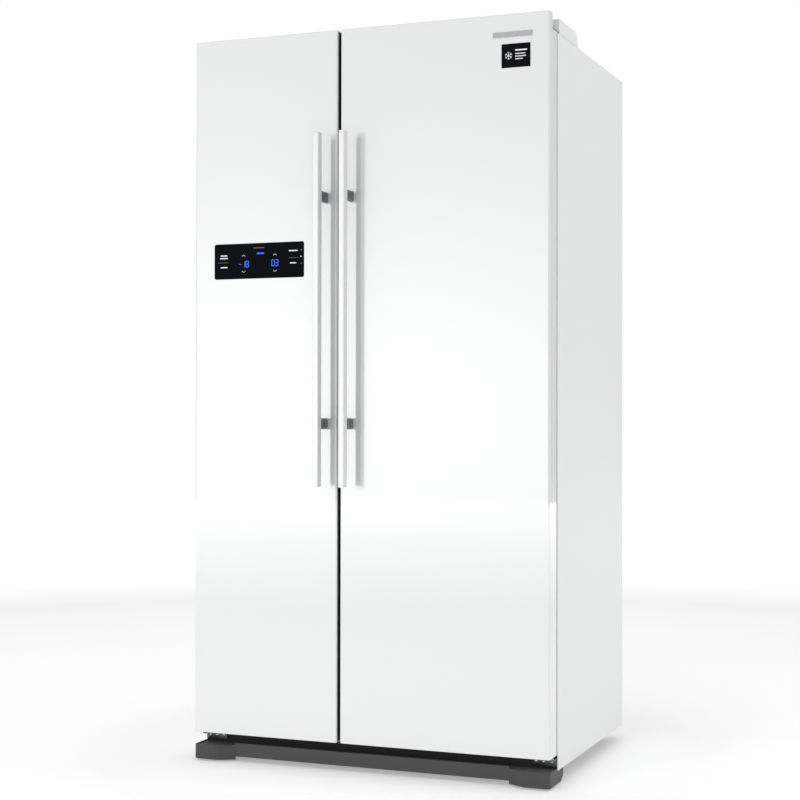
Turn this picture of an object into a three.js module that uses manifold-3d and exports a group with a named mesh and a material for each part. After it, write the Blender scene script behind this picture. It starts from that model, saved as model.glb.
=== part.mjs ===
// A side-by-side refrigerator: a freezer on the left and a fridge on the right, in millimetres.
// X runs to the right, Y to the back and Z up. Inside this file Y is 0 on the front of the doors
// and Z is 0 on the floor; the group at the end moves the whole to its reference point.
import * as THREE from "three";
import { mergeVertices } from "three/addons/utils/BufferGeometryUtils.js";
import Module from "manifold-3d";

const wasm = await Module();
wasm.setup();

// Overall sizes.
const WIDTH = 912;
const DOOR_TOP = 1774;
const BACK = 672; // depth from the front of the doors to the back of the cabinet

// Clearances.
const GAP = 0.3; // between pieces that touch
const PIN_CLEARANCE = 0.6; // round a pin in its hole
const SLIDE_CLEARANCE = 4; // beside a shelf or a drawer
const SWING_CLEARANCE = 4; // between an opening door and the edge of its compartment

// Doors.
const DOOR_BOTTOM = 70;
const DOOR_DEPTH = 54;
const FREEZER_DOOR_WIDTH = 384;
const DOOR_CLEARANCE = 8; // between the two doors
const DOOR_CORNER = 8; // radius of the upright front edges
const DOOR_SHEET = 1.2;
const DOOR_LINER_SHEET = 2.7;
const LINER_EDGE = 1.5; // from a door's edge to the edge of its liner

// Gaskets, between a door and the cabinet.
const GASKET_GAP = 12; // from the back of a door to the front of the cabinet
const GASKET_WIDTH = 14;
const GASKET_HINGE_INSET = 18;
const GASKET_FREE_INSET = 4;
const GASKET_END_INSET = 10;

// Cabinet.
const HINGE_COVER_HEIGHT = 36; // from the top of the cabinet to the top of the doors
const CASE_BOTTOM = 34;
const CASE_CHAMFER = 12; // at the lower back corners of the sides
const SHEET = 1;
const FRAME_WIDTH = 22; // the folded edge round the front
const MULLION_WIDTH = 44; // the upright strip between the compartments
const LINER_SHEET = 2;
const SIDE_WALL = 55;
const PARTITION = 60;
const TOP_WALL = 50;
const FLOOR_WALL = 50;
const BACK_WALL = 55;

// Machine compartment, in the lower back of the cabinet.
const MACHINE_DEPTH = 230;
const MACHINE_HEIGHT = 173; // above the underside of the insulation
const MACHINE_SIDE_WALL = 25;
const STEP_WALL = 50; // insulation between it and the compartments
const MACHINE_FLOOR = 42;
const BASE_BOTTOM = 36;
const BASE_SHEET = 2;

// Hinges. A door turns on an upright pin close to its outer back corner.
const PIVOT_INSET = 12; // from the side of the door
const PIVOT_DEPTH = 43; // from the front of the door
const PIN_RADIUS = 5;
const PIN_GRIP = 14; // length of the pin inside the door
const NOTCH_WIDTH = 28; // the corner cut from the door for the upper hinge
const NOTCH_FRONT = 20;
const NOTCH_DROP = 3; // floor of the notch below the top of the cabinet
const HINGE_PLATE = 4;
const HINGE_ARM_WIDTH = 14;
const HINGE_EYE_RADIUS = 10;
const HINGE_BASE_WIDTH = 56;
const HINGE_BASE_FRONT = 96;
const HINGE_BASE_LENGTH = 120;
const LOWER_HINGE_TOP = 64;
const LOWER_HINGE_DROP = 20;
const HINGE_COVER_FRONT = 85;
const HINGE_COVER_LENGTH = 158;
const HINGE_COVER_WIDTH = 74;
const HINGE_COVER_INSET = 2;
const HINGE_COVER_WALL = 2;
const HINGE_COVER_ROUND = 28;

// Handles.
const HANDLE_INNER = 26; // from the middle of the gap between the doors
const HANDLE_WIDTH = 14.5;
const HANDLE_DEPTH = 22;
const HANDLE_STAND = 40; // from the door to the back of the bar
const HANDLE_LENGTH = 840;
const HANDLE_DROP = 252; // from the top of the door
const HANDLE_ROUND = 3;
const MOUNT_SPACING = 541;
const MOUNT_WIDTH = 12;
const MOUNT_HEIGHT = 30;
const MOUNT_ROUND = 5;

// Display in the freezer door.
const DISPLAY_WIDTH = 242.5;
const DISPLAY_HEIGHT = 86;
const DISPLAY_DEPTH = 10;
const DISPLAY_PROUD = 0.5;
const DISPLAY_SIDE = 54; // from the outer edge of the door
const DISPLAY_DROP = 503; // from the top of the door
const DISPLAY_ROUND = 5;

// Shelves, drawers and door bins.
const SHELF_FRONT = 185;
const SHELF_THICKNESS = 5;
const SHELF_TRIM_HEIGHT = 16;
const SHELF_TRIM_DEPTH = 12;
const RIB_WIDTH = 9; // shelf and drawer supports on the side walls
const RIB_HEIGHT = 6;
const DRAWER_FRONT = 130;
const DRAWER_WALL = 3;
const DRAWER_FACE = 6;
const DRAWER_PULL = 10; // how far the pull along the top of a drawer's face stands out
const DRAWER_LIP = 8;
const DRAWER_LIP_THICKNESS = 4;
const DRAWER_RISE = 7; // from the floor of a compartment to a drawer
const LOWER_DRAWER_HEIGHT = 152;
const UPPER_DRAWER_HEIGHT = 148;
const DYKE_WIDTH = 16; // the raised walls on a door's liner that carry its bins
const DYKE_DEPTH = 50;
const BIN_DEPTH = 100;
const BIN_HEIGHT = 112;
const BIN_WALL = 3;
const BIN_ROUND = 18;
const BIN_CLEARANCE = 1;
const BIN_LUG = 8;

// Cold air.
const EVAPORATOR_SPACE = 65; // behind its cover
const EVAPORATOR_HEIGHT = 230;
const COVER_THICKNESS = 4;
const EVAPORATOR_FAN_RADIUS = 52;
const DUCT_WIDTH = 160;
const DUCT_DEPTH = 18;

// Ice maker, under the freezer's ceiling.
const ICE_PLATE = 4;
const ICE_TRAY_WIDTH = 108;
const ICE_TRAY_HEIGHT = 28;
const ICE_TRAY_LENGTH = 200;
const ICE_BUCKET_WIDTH = 150;
const ICE_BUCKET_HEIGHT = 110;
const ICE_BUCKET_WALL = 3;

// Machinery.
const COMPRESSOR_RADIUS = 78;
const COMPRESSOR_HEIGHT = 158;
const COMPRESSOR_FEET = 8; // rubber feet between it and the floor
const CONDENSER_WIDTH = 290;
const CONDENSER_DEPTH = 150;
const CONDENSER_HEIGHT = 130;
const CONDENSER_RISE = 66; // above the floor
const TRAY_HEIGHT = 16;
const MACHINE_FAN_RADIUS = 62;

// Base.
const LEG_INSET = 36; // from the side of the cabinet
const LEG_BACK = 18; // from the front of the base
const LEG_RADIUS = 18;
const LEG_PAD = 10;
const LEG_SCREW_RADIUS = 6;
const LEG_SCREW_TOP = 60;
const LEG_BLOCK_BOTTOM = 46;
const ROLLER_RADIUS = 17;
const ROLLER_WIDTH = 22;
const ROLLER_INSET = 56;
const ROLLER_BACK = 52;
const AXLE_RADIUS = 5;
const FORK_WALL = 3;
const FORK_BOTTOM = 8;
const ROLLER_CLEARANCE = 1.5; // between a roller and its fork
const KICK_FRONT = 22;
const KICK_BOTTOM = 12;
const KICK_TOP = 45;
const KICK_WALL = 4;
const FOOT_COVER_LENGTH = 112;
const FOOT_COVER_BOTTOM = 4.6;
const FOOT_COVER_TOP = 40;
const FOOT_FACE = [64, 7]; // the flat front of a foot cover, from the side of the cabinet
const FOOT_SLANT = 40; // from that face to the kick plate
const FOOT_ROUND = 26;

// How finely round shapes are stepped.
const CORNER_STEPS = 3;
const ROUND_STEPS = 20;

// Places that follow from the sizes above.
const HALF = WIDTH / 2;
const SPLIT = -HALF + FREEZER_DOOR_WIDTH + DOOR_CLEARANCE / 2;
const CABINET_FRONT = DOOR_DEPTH + GASKET_GAP;
const CABINET_TOP = DOOR_TOP - HINGE_COVER_HEIGHT;
const FLOOR = DOOR_BOTTOM + FLOOR_WALL;
const CEILING = CABINET_TOP - TOP_WALL;
const CAVITY_BACK = BACK - BACK_WALL;
const MACHINE_FRONT = BACK - MACHINE_DEPTH;
const MACHINE_TOP = DOOR_BOTTOM + MACHINE_HEIGHT;
const STEP_FRONT = MACHINE_FRONT - STEP_WALL;
const STEP_TOP = MACHINE_TOP + STEP_WALL;
const BASE_FRONT = CABINET_FRONT + SHEET + GAP;
const NOTCH_FLOOR = CABINET_TOP - NOTCH_DROP;
const LINER_FRONT = DOOR_DEPTH + GAP;
const LINER_BACK = LINER_FRONT + DOOR_LINER_SHEET;
const BIN_BACK = LINER_BACK + BIN_DEPTH;
const HANDLE_TOP = DOOR_TOP - HANDLE_DROP;
const LOWER_DRAWER = FLOOR + DRAWER_RISE;
const UPPER_DRAWER = STEP_TOP + DRAWER_RISE;
const DRAWERS_TOP = UPPER_DRAWER + UPPER_DRAWER_HEIGHT;
const DRAWER_COVER = DRAWERS_TOP + SLIDE_CLEARANCE + RIB_HEIGHT + SHELF_THICKNESS;
const EVAPORATOR_COVER_FRONT = CAVITY_BACK - EVAPORATOR_SPACE;
const DUCT_FRONT = CAVITY_BACK - DUCT_DEPTH;
const MACHINE_MIDDLE = (MACHINE_FRONT + BACK) / 2;

// The two compartments: the side that the door hangs on, the spans of door and cavity along X,
// and where the shelves end.
const FREEZER = {
  side: -1,
  door: [-HALF, SPLIT - DOOR_CLEARANCE / 2],
  cavity: [-HALF + SIDE_WALL, SPLIT - PARTITION / 2],
  shelfBack: EVAPORATOR_COVER_FRONT,
};
const FRIDGE = {
  side: 1,
  door: [SPLIT + DOOR_CLEARANCE / 2, HALF],
  cavity: [SPLIT + PARTITION / 2, HALF - SIDE_WALL],
  shelfBack: DUCT_FRONT,
};

// Ice maker places. The tray turns about a line along Y, clear of the ceiling.
const ICE_MIDDLE = middle(FREEZER.cavity);
const ICE_SWEEP = Math.hypot(ICE_TRAY_WIDTH, ICE_TRAY_HEIGHT) / 2 + 3;
const ICE_AXIS = CEILING - GAP - ICE_PLATE - ICE_SWEEP;
const ICE_BUCKET_TOP = ICE_AXIS - ICE_SWEEP - 4;
const ICE_FRONT = SHELF_FRONT + 15;

// Heights of the shelves: evenly spaced between the drawers and what is above.
const FREEZER_SHELVES = [DRAWER_COVER, middle([DRAWER_COVER, ICE_BUCKET_TOP - ICE_BUCKET_HEIGHT])];
const FRIDGE_SHELVES = spread(DRAWER_COVER, CEILING, 3);
const FREEZER_BINS = spread(DRAWER_COVER, CEILING, 2);
const FRIDGE_BINS = spread(DRAWER_COVER, CEILING, 3);

function middle([a, b]) {
  return (a + b) / 2;
}

/** Heights that divide the space between two others into equal parts. */
function spread(from, to, count) {
  return Array.from({ length: count }, (_, i) => from + ((to - from) * (i + 1)) / (count + 1));
}

/** A range along X measured inwards from one side of the cabinet: -1 is the left, 1 the right. */
function inward(side, near, far) {
  return side > 0 ? [HALF - far, HALF - near] : [-HALF + near, -HALF + far];
}

/** A range grown at both ends, or shrunk if the amount is negative. */
function grown([a, b], by) {
  return [a - by, b + by];
}

// ---- Shapes ----

/** A block, from its ranges along X, Y and Z. */
function block([x0, x1], [y0, y1], [z0, z1]) {
  const box = new THREE.BoxGeometry(x1 - x0, y1 - y0, z1 - z0);
  return box.translate((x0 + x1) / 2, (y0 + y1) / 2, (z0 + z1) / 2);
}

function extruded(outline, depth) {
  return new THREE.ExtrudeGeometry(outline, { depth, bevelEnabled: false, curveSegments: CORNER_STEPS });
}

/** An outline in X and Y, raised along Z. */
function slab(outline, [z0, z1]) {
  return extruded(outline, z1 - z0).translate(0, 0, z0);
}

/** An outline in X and Z, stretched along Y. */
function panel(outline, [y0, y1]) {
  return extruded(outline, y1 - y0)
    .rotateX(Math.PI / 2)
    .translate(0, y1, 0);
}

/** An outline in Y and Z, stretched along X. */
function prism(outline, [x0, x1]) {
  const turn = new THREE.Matrix4().set(0, 0, 1, x0, 1, 0, 0, 0, 0, 1, 0, 0, 0, 0, 0, 1);
  return extruded(outline, x1 - x0).applyMatrix4(turn);
}

function polygon(points) {
  return new THREE.Shape(points.map(([u, v]) => new THREE.Vector2(u, v)));
}

/** A rectangle with a radius for each corner: low-low, high-low, high-high and low-high. */
function rounded([u0, u1], [v0, v1], [ll, hl, hh, lh]) {
  const shape = new THREE.Shape();
  const corners = [
    [u0, v0, ll, 1, 1],
    [u1, v0, hl, -1, 1],
    [u1, v1, hh, -1, -1],
    [u0, v1, lh, 1, -1],
  ];
  corners.forEach(([u, v, radius, du, dv], i) => {
    if (radius === 0) {
      shape[i ? "lineTo" : "moveTo"](u, v);
      return;
    }
    const start = Math.PI * (1 + i / 2);
    const centre = [u + du * radius, v + dv * radius];
    if (i === 0) shape.moveTo(u, centre[1]);
    shape.absarc(...centre, radius, start, start + Math.PI / 2, false);
  });
  return shape;
}

/** A round bar along "x", "y" or "z", centred on the other two coordinates in their order. */
function bar(axis, radius, [from, to], [u, v], steps = ROUND_STEPS) {
  const cylinder = new THREE.CylinderGeometry(radius, radius, to - from, steps);
  const along = (from + to) / 2;
  if (axis === "x") return cylinder.rotateZ(-Math.PI / 2).translate(along, u, v);
  if (axis === "y") return cylinder.translate(u, along, v);
  return cylinder.rotateX(Math.PI / 2).translate(u, v, along);
}

/** A solid that can be joined and cut. */
function solid(shape) {
  if (shape instanceof wasm.Manifold) return shape;
  const bare = shape.clone();
  bare.deleteAttribute("normal");
  bare.deleteAttribute("uv");
  const merged = mergeVertices(bare, 1e-4);
  const vertProperties = new Float32Array(merged.attributes.position.array);
  const triVerts = new Uint32Array(merged.index.array);
  return new wasm.Manifold(new wasm.Mesh({ numProp: 3, vertProperties, triVerts }));
}

function join(...shapes) {
  return shapes.map(solid).reduce((whole, next) => whole.add(next));
}

function cut(shape, ...tools) {
  return tools.map(solid).reduce((rest, tool) => rest.subtract(tool), solid(shape));
}

function geometryOf(shape) {
  const { vertProperties, triVerts } = solid(shape).getMesh();
  const geometry = new THREE.BufferGeometry()
    .setAttribute("position", new THREE.BufferAttribute(vertProperties, 3))
    .setIndex(new THREE.BufferAttribute(triVerts, 1));
  geometry.computeVertexNormals();
  return geometry;
}

/** A box with no lid: its walls and floor share one thickness. */
function openBox(x, y, z, wall, corners = [0, 0, 0, 0]) {
  const inside = corners.map((radius) => Math.max(radius - wall, 0));
  return cut(
    slab(rounded(x, y, corners), z),
    slab(rounded(grown(x, -wall), grown(y, -wall), inside), [z[0] + wall, z[1] + 1]),
  );
}

// ---- Cabinet ----

/** The compartment's space, grown on every side but the front. */
function cavity({ cavity: span }, by, front = CABINET_FRONT) {
  const outline = polygon([
    [front, FLOOR - by],
    [STEP_FRONT + by, FLOOR - by],
    [STEP_FRONT + by, STEP_TOP - by],
    [CAVITY_BACK + by, STEP_TOP - by],
    [CAVITY_BACK + by, CEILING + by],
    [front, CEILING + by],
  ]);
  return prism(outline, grown(span, by));
}

/** The opening of a compartment in the folded front frame. */
function frameWindow({ side }, by) {
  const edge = side * (HALF - FRAME_WIDTH);
  const strip = SPLIT + (side * MULLION_WIDTH) / 2;
  const x = [Math.min(edge, strip), Math.max(edge, strip)];
  return [grown(x, by), grown([DOOR_BOTTOM + FRAME_WIDTH, CABINET_TOP - FRAME_WIDTH], by)];
}

function outerCase() {
  const wrap = cut(
    block([-HALF, HALF], [CABINET_FRONT, BACK], [CASE_BOTTOM, CABINET_TOP]),
    block(
      [-HALF + SHEET, HALF - SHEET],
      [CABINET_FRONT - 1, BACK + 1],
      [CASE_BOTTOM - 1, CABINET_TOP - SHEET],
    ),
  );
  const y = [CABINET_FRONT, CABINET_FRONT + SHEET];
  const windows = [FREEZER, FRIDGE].map((c) => {
    const [x, z] = frameWindow(c, 0);
    return block(x, grown(y, 1), z);
  });
  const frame = cut(block([-HALF, HALF], y, [DOOR_BOTTOM, CABINET_TOP]), ...windows);
  const corner = polygon([
    [BACK - CASE_CHAMFER, CASE_BOTTOM - 1],
    [BACK + 1, CASE_BOTTOM - 1],
    [BACK + 1, CASE_BOTTOM + CASE_CHAMFER],
  ]);
  return cut(join(wrap, frame), prism(corner, [-HALF - 1, HALF + 1]));
}

function insulation() {
  const inside = HALF - SHEET - GAP;
  const reach = inside - MACHINE_SIDE_WALL;
  return cut(
    block(
      [-inside, inside],
      [CABINET_FRONT + LINER_SHEET + GAP, BACK - SHEET - GAP],
      [DOOR_BOTTOM + GAP, CABINET_TOP - SHEET - GAP],
    ),
    cavity(FREEZER, LINER_SHEET + GAP),
    cavity(FRIDGE, LINER_SHEET + GAP),
    block([-reach, reach], [MACHINE_FRONT, BACK], [DOOR_BOTTOM, MACHINE_TOP]),
  );
}

/** A vacuum-formed liner, with a support rib on both side walls under each shelf and drawer. */
function liner(compartment, shelves) {
  const { cavity: span, shelfBack } = compartment;
  const [x, z] = frameWindow(compartment, -GAP);
  const flange = block(x, [CABINET_FRONT, CABINET_FRONT + LINER_SHEET], z);
  const supports = [
    [drawerLip(LOWER_DRAWER + LOWER_DRAWER_HEIGHT), DRAWER_FRONT + 2 * DRAWER_FACE, STEP_FRONT],
    [drawerLip(DRAWERS_TOP), DRAWER_FRONT + 2 * DRAWER_FACE, shelfBack],
    ...shelves.map((top) => [top - SHELF_THICKNESS, shelfFront(top), shelfBack]),
  ];
  const ribs = supports.flatMap(([top, front, back]) => {
    const height = [top - GAP - RIB_HEIGHT, top - GAP];
    return [
      block([span[0] - 1, span[0] + RIB_WIDTH], [front, back], height),
      block([span[1] - RIB_WIDTH, span[1] + 1], [front, back], height),
    ];
  });
  const shell = cut(join(cavity(compartment, LINER_SHEET), flange), cavity(compartment, 0, 0));
  return join(shell, ...ribs);
}

function backPanel() {
  const inside = HALF - SHEET - GAP;
  return block([-inside, inside], [BACK - SHEET, BACK], [MACHINE_TOP, CABINET_TOP - SHEET - GAP]);
}

/** The steel base: a raised front, a low floor under the machinery, leg blocks and roller forks. */
function baseFrame() {
  const side = HALF - SHEET - GAP;
  const back = BACK - 2 * BASE_SHEET;
  const inside = grown([-side, side], -BASE_SHEET);
  const under = polygon([
    [BASE_FRONT + BASE_SHEET, BASE_BOTTOM - 1],
    [back + 1, BASE_BOTTOM - 1],
    [back + 1, MACHINE_FLOOR - BASE_SHEET],
    [MACHINE_FRONT - BASE_SHEET, MACHINE_FLOOR - BASE_SHEET],
    [MACHINE_FRONT - BASE_SHEET, DOOR_BOTTOM - BASE_SHEET],
    [BASE_FRONT + BASE_SHEET, DOOR_BOTTOM - BASE_SHEET],
  ]);
  const tray = cut(
    block([-side, side], [BASE_FRONT, back], [BASE_BOTTOM, DOOR_BOTTOM]),
    prism(under, inside),
    block(inside, [MACHINE_FRONT, back + 1], [MACHINE_FLOOR, DOOR_BOTTOM + 1]),
  );
  const legX = HALF - LEG_INSET;
  const legY = BASE_FRONT + LEG_BACK;
  const rollerX = HALF - ROLLER_INSET;
  const rollerY = BACK - ROLLER_BACK;
  const forkX = ROLLER_WIDTH / 2 + ROLLER_CLEARANCE + FORK_WALL / 2;
  const fork = [FORK_BOTTOM, MACHINE_FLOOR - BASE_SHEET / 2];
  const mounts = [-1, 1].flatMap((s) => [
    block(
      grown([s * legX, s * legX], LEG_RADIUS),
      [BASE_FRONT + BASE_SHEET / 2, legY + LEG_RADIUS],
      [LEG_BLOCK_BOTTOM, DOOR_BOTTOM - BASE_SHEET / 2],
    ),
    ...[-forkX, forkX].map((x) =>
      block(grown([s * rollerX + x, s * rollerX + x], FORK_WALL / 2), grown([rollerY, rollerY], 14), fork),
    ),
  ]);
  const holes = [-1, 1].flatMap((s) => [
    bar("z", LEG_SCREW_RADIUS + PIN_CLEARANCE, [LEG_BLOCK_BOTTOM - 1, LEG_SCREW_TOP + 4], [s * legX, legY]),
    bar("x", AXLE_RADIUS + PIN_CLEARANCE, grown([s * rollerX, s * rollerX], 30), [rollerY, ROLLER_RADIUS]),
  ]);
  return cut(join(tray, ...mounts), ...holes);
}

function levellingLeg(side) {
  const at = [side * (HALF - LEG_INSET), BASE_FRONT + LEG_BACK];
  return join(
    bar("z", LEG_RADIUS, [0, LEG_PAD], at),
    bar("z", LEG_SCREW_RADIUS, [LEG_PAD - 1, LEG_SCREW_TOP], at),
  );
}

function rearRoller(side) {
  const x = side * (HALF - ROLLER_INSET);
  const at = [BACK - ROLLER_BACK, ROLLER_RADIUS];
  const axle = ROLLER_WIDTH / 2 + ROLLER_CLEARANCE + 2 * FORK_WALL;
  return join(
    bar("x", ROLLER_RADIUS, grown([x, x], ROLLER_WIDTH / 2), at, 32),
    bar("x", AXLE_RADIUS, grown([x, x], axle), at),
  );
}

/** One half of the base cover: a hollow foot cover, seen from above as a bent strip. */
function footCover(side) {
  const [inner, outer] = FOOT_FACE.map((inset) => HALF - inset);
  const slant = inner - FOOT_SLANT;
  const strip = polygon([
    [slant, KICK_FRONT],
    [inner, 0],
    [outer, 0],
    [HALF - 2, 2],
    [HALF, outer - HALF + 14],
    [HALF, FOOT_COVER_LENGTH],
    [HALF - KICK_WALL, FOOT_COVER_LENGTH],
    [HALF - KICK_WALL, 10],
    [outer - 2, KICK_WALL],
    [inner + 1, KICK_WALL],
    [slant, KICK_FRONT + KICK_WALL],
  ]);
  const profile = new THREE.Shape();
  profile.moveTo(-1, FOOT_COVER_BOTTOM);
  profile.lineTo(FOOT_COVER_LENGTH - FOOT_ROUND, FOOT_COVER_BOTTOM);
  profile.absarc(
    FOOT_COVER_LENGTH - FOOT_ROUND,
    FOOT_COVER_BOTTOM + FOOT_ROUND,
    FOOT_ROUND,
    -Math.PI / 2,
    0,
    false,
  );
  profile.lineTo(FOOT_COVER_LENGTH, CASE_BOTTOM - GAP);
  profile.lineTo(CABINET_FRONT - GAP, CASE_BOTTOM - GAP);
  profile.lineTo(CABINET_FRONT - GAP, FOOT_COVER_TOP);
  profile.lineTo(-1, FOOT_COVER_TOP);
  const foot = solid(slab(strip, [FOOT_COVER_BOTTOM, FOOT_COVER_TOP])).intersect(
    solid(prism(profile, [0, HALF + 1])),
  );
  return side > 0 ? foot : foot.mirror([1, 0, 0]);
}

function baseCover() {
  const reach = HALF - FOOT_FACE[0] - FOOT_SLANT + 1;
  const kick = block([-reach, reach], [KICK_FRONT, KICK_FRONT + KICK_WALL], [KICK_BOTTOM, KICK_TOP]);
  return join(kick, footCover(-1), footCover(1));
}

// ---- Hinges ----

function pivot(side) {
  return [side * (HALF - PIVOT_INSET), PIVOT_DEPTH];
}

function upperHinge(side) {
  const [x, y] = pivot(side);
  const plate = [CABINET_TOP + GAP, CABINET_TOP + GAP + HINGE_PLATE];
  const near = PIVOT_INSET - HINGE_ARM_WIDTH / 2;
  const base = inward(side, near, near + HINGE_BASE_WIDTH);
  return join(
    block(base, [HINGE_BASE_FRONT, HINGE_BASE_FRONT + HINGE_BASE_LENGTH], plate),
    block(grown([x, x], HINGE_ARM_WIDTH / 2), [y, HINGE_BASE_FRONT + 1], plate),
    bar("z", HINGE_EYE_RADIUS, plate, [x, y]),
    bar("z", PIN_RADIUS, [NOTCH_FLOOR - PIN_GRIP, plate[1] + 3], [x, y]),
  );
}

/** A cap over the upper hinge, rounded at the back, with a mouth in front for the hinge's arm. */
function hingeCover(side) {
  const x = inward(side, HINGE_COVER_INSET, HINGE_COVER_INSET + HINGE_COVER_WIDTH);
  const y = [HINGE_COVER_FRONT, HINGE_COVER_FRONT + HINGE_COVER_LENGTH];
  const z = [CABINET_TOP + GAP, DOOR_TOP];
  const wall = HINGE_COVER_WALL;
  const round = HINGE_COVER_ROUND;
  const [pinX] = pivot(side);
  return cut(
    prism(rounded(y, z, [0, 0, round, 3]), x),
    prism(
      rounded(grown(y, -wall), [z[0] - wall, z[1] - wall], [0, 0, round - wall, 1]),
      grown(x, -wall),
    ),
    block(
      grown([pinX, pinX], HINGE_ARM_WIDTH / 2 + 1),
      [y[0] - 1, y[0] + wall + 1],
      [z[0] - 1, z[0] + HINGE_PLATE + 1],
    ),
  );
}

function lowerHinge(side) {
  const [x, y] = pivot(side);
  const front = BASE_FRONT - GAP;
  const plate = [LOWER_HINGE_TOP - HINGE_PLATE, LOWER_HINGE_TOP];
  const near = PIVOT_INSET - HINGE_EYE_RADIUS;
  const base = inward(side, near, near + HINGE_BASE_WIDTH);
  return join(
    block(base, [front - HINGE_PLATE, front], [LOWER_HINGE_TOP - LOWER_HINGE_DROP, LOWER_HINGE_TOP]),
    block(inward(side, near, near + 2 * HINGE_EYE_RADIUS), [y, front], plate),
    bar("z", HINGE_EYE_RADIUS, plate, [x, y]),
    bar("z", PIN_RADIUS + 3, [plate[0], DOOR_BOTTOM - 0.5], [x, y]),
    bar("z", PIN_RADIUS, [plate[0], DOOR_BOTTOM + PIN_GRIP], [x, y]),
  );
}

// ---- Doors ----

/** The notch for the upper hinge and the holes for both pins, each grown by an amount. */
function hingeSpaces(side, by) {
  const hole = PIN_RADIUS + PIN_CLEARANCE;
  const at = pivot(side);
  return [
    block(
      inward(side, -1, NOTCH_WIDTH + by),
      [NOTCH_FRONT - by, LINER_BACK + 1],
      [NOTCH_FLOOR - by, DOOR_TOP + 1],
    ),
    bar("z", hole, [NOTCH_FLOOR - PIN_GRIP - 2, NOTCH_FLOOR + 1], at),
    bar("z", hole, [DOOR_BOTTOM - 1, DOOR_BOTTOM + PIN_GRIP + 2], at),
  ];
}

/** A door's outer shape, shrunk on every side but the back, with its notch grown as much. */
function doorBody({ door, side }, by, back) {
  const round = DOOR_CORNER - by;
  const outline = rounded(grown(door, -by), [by, back], [round, round, 0, 0]);
  const [notch] = hingeSpaces(side, by);
  return cut(slab(outline, [DOOR_BOTTOM + by, DOOR_TOP - by]), notch);
}

function displaySpace(by, depth) {
  const x = grown([-HALF + DISPLAY_SIDE, -HALF + DISPLAY_SIDE + DISPLAY_WIDTH], by);
  const top = DOOR_TOP - DISPLAY_DROP;
  const radii = Array(4).fill(DISPLAY_ROUND + by);
  return panel(rounded(x, grown([top - DISPLAY_HEIGHT, top], by), radii), depth);
}

function doorShell(compartment) {
  const pan = cut(
    doorBody(compartment, 0, DOOR_DEPTH),
    doorBody(compartment, DOOR_SHEET, DOOR_DEPTH + 1),
    ...hingeSpaces(compartment.side, 0),
  );
  return compartment === FREEZER ? cut(pan, displaySpace(GAP, [-1, DOOR_SHEET + 1])) : pan;
}

function doorFoam(compartment) {
  const core = cut(
    doorBody(compartment, DOOR_SHEET + GAP, DOOR_DEPTH),
    ...hingeSpaces(compartment.side, 0).slice(1),
  );
  return compartment === FREEZER ? cut(core, displaySpace(1, [0, DISPLAY_DEPTH + 1])) : core;
}

/** How far from its pin a door may reach at a depth and still swing clear of the far jamb. */
function reachAt({ side, cavity: span }, y) {
  const [pinX, pinY] = pivot(side);
  const jamb = side > 0 ? span[0] : span[1];
  const radius = Math.hypot(pinX - jamb, CABINET_FRONT - pinY) - SWING_CLEARANCE;
  return Math.sqrt(radius ** 2 - (y - pinY) ** 2);
}

/** The span between the two dykes of a door, where its bins sit. */
function binSpan(compartment) {
  const { side, cavity: span } = compartment;
  const [pinX] = pivot(side);
  const free = pinX - side * (reachAt(compartment, LINER_BACK + DYKE_DEPTH) - DYKE_WIDTH);
  const hinge = (side > 0 ? span[1] : span[0]) - side * (2 * SWING_CLEARANCE + DYKE_WIDTH);
  return [Math.min(free, hinge), Math.max(free, hinge)];
}

/** The inside of a door: a flat sheet with two raised dykes and a lug under each end of a bin. */
function doorLiner(compartment, bins) {
  const [x0, x1] = binSpan(compartment);
  const y = [LINER_FRONT, LINER_BACK];
  const dykeY = [LINER_FRONT, LINER_BACK + DYKE_DEPTH];
  const dykeZ = [DRAWER_COVER + 4 * SWING_CLEARANCE, CEILING - 4 * SWING_CLEARANCE];
  const lugs = bins.flatMap((bottom) => {
    const z = [bottom - GAP - BIN_LUG, bottom - GAP];
    return [block([x0 - 1, x0 + BIN_LUG], dykeY, z), block([x1 - BIN_LUG, x1 + 1], dykeY, z)];
  });
  const whole = join(
    block(grown(compartment.door, -LINER_EDGE), y, [DOOR_BOTTOM + LINER_EDGE, DOOR_TOP - LINER_EDGE]),
    block([x0 - DYKE_WIDTH, x0], dykeY, dykeZ),
    block([x1, x1 + DYKE_WIDTH], dykeY, dykeZ),
    ...lugs,
  );
  return cut(whole, hingeSpaces(compartment.side, LINER_EDGE)[0]);
}

function doorGasket({ side, door }) {
  const insets = side > 0 ? [GASKET_FREE_INSET, GASKET_HINGE_INSET] : [GASKET_HINGE_INSET, GASKET_FREE_INSET];
  const x = [door[0] + insets[0], door[1] - insets[1]];
  const y = [LINER_BACK + GAP, CABINET_FRONT - GAP];
  const z = [DOOR_BOTTOM + GASKET_END_INSET, CABINET_TOP - GASKET_END_INSET];
  return cut(block(x, y, z), block(grown(x, -GASKET_WIDTH), grown(y, 1), grown(z, -GASKET_WIDTH)));
}

function doorBin(compartment, bottom) {
  const x = grown(binSpan(compartment), -BIN_CLEARANCE);
  const y = [LINER_BACK + GAP, BIN_BACK];
  return openBox(x, y, [bottom, bottom + BIN_HEIGHT], BIN_WALL, [0, 0, BIN_ROUND, BIN_ROUND]);
}

function handleSpan(side) {
  const ends = [SPLIT + side * HANDLE_INNER, SPLIT + side * (HANDLE_INNER + HANDLE_WIDTH)];
  return ends.sort((a, b) => a - b);
}

function handleBar({ side }) {
  const y = [-HANDLE_STAND - HANDLE_DEPTH, -HANDLE_STAND];
  const round = Array(4).fill(HANDLE_ROUND);
  return slab(rounded(handleSpan(side), y, round), [HANDLE_TOP - HANDLE_LENGTH, HANDLE_TOP]);
}

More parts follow.
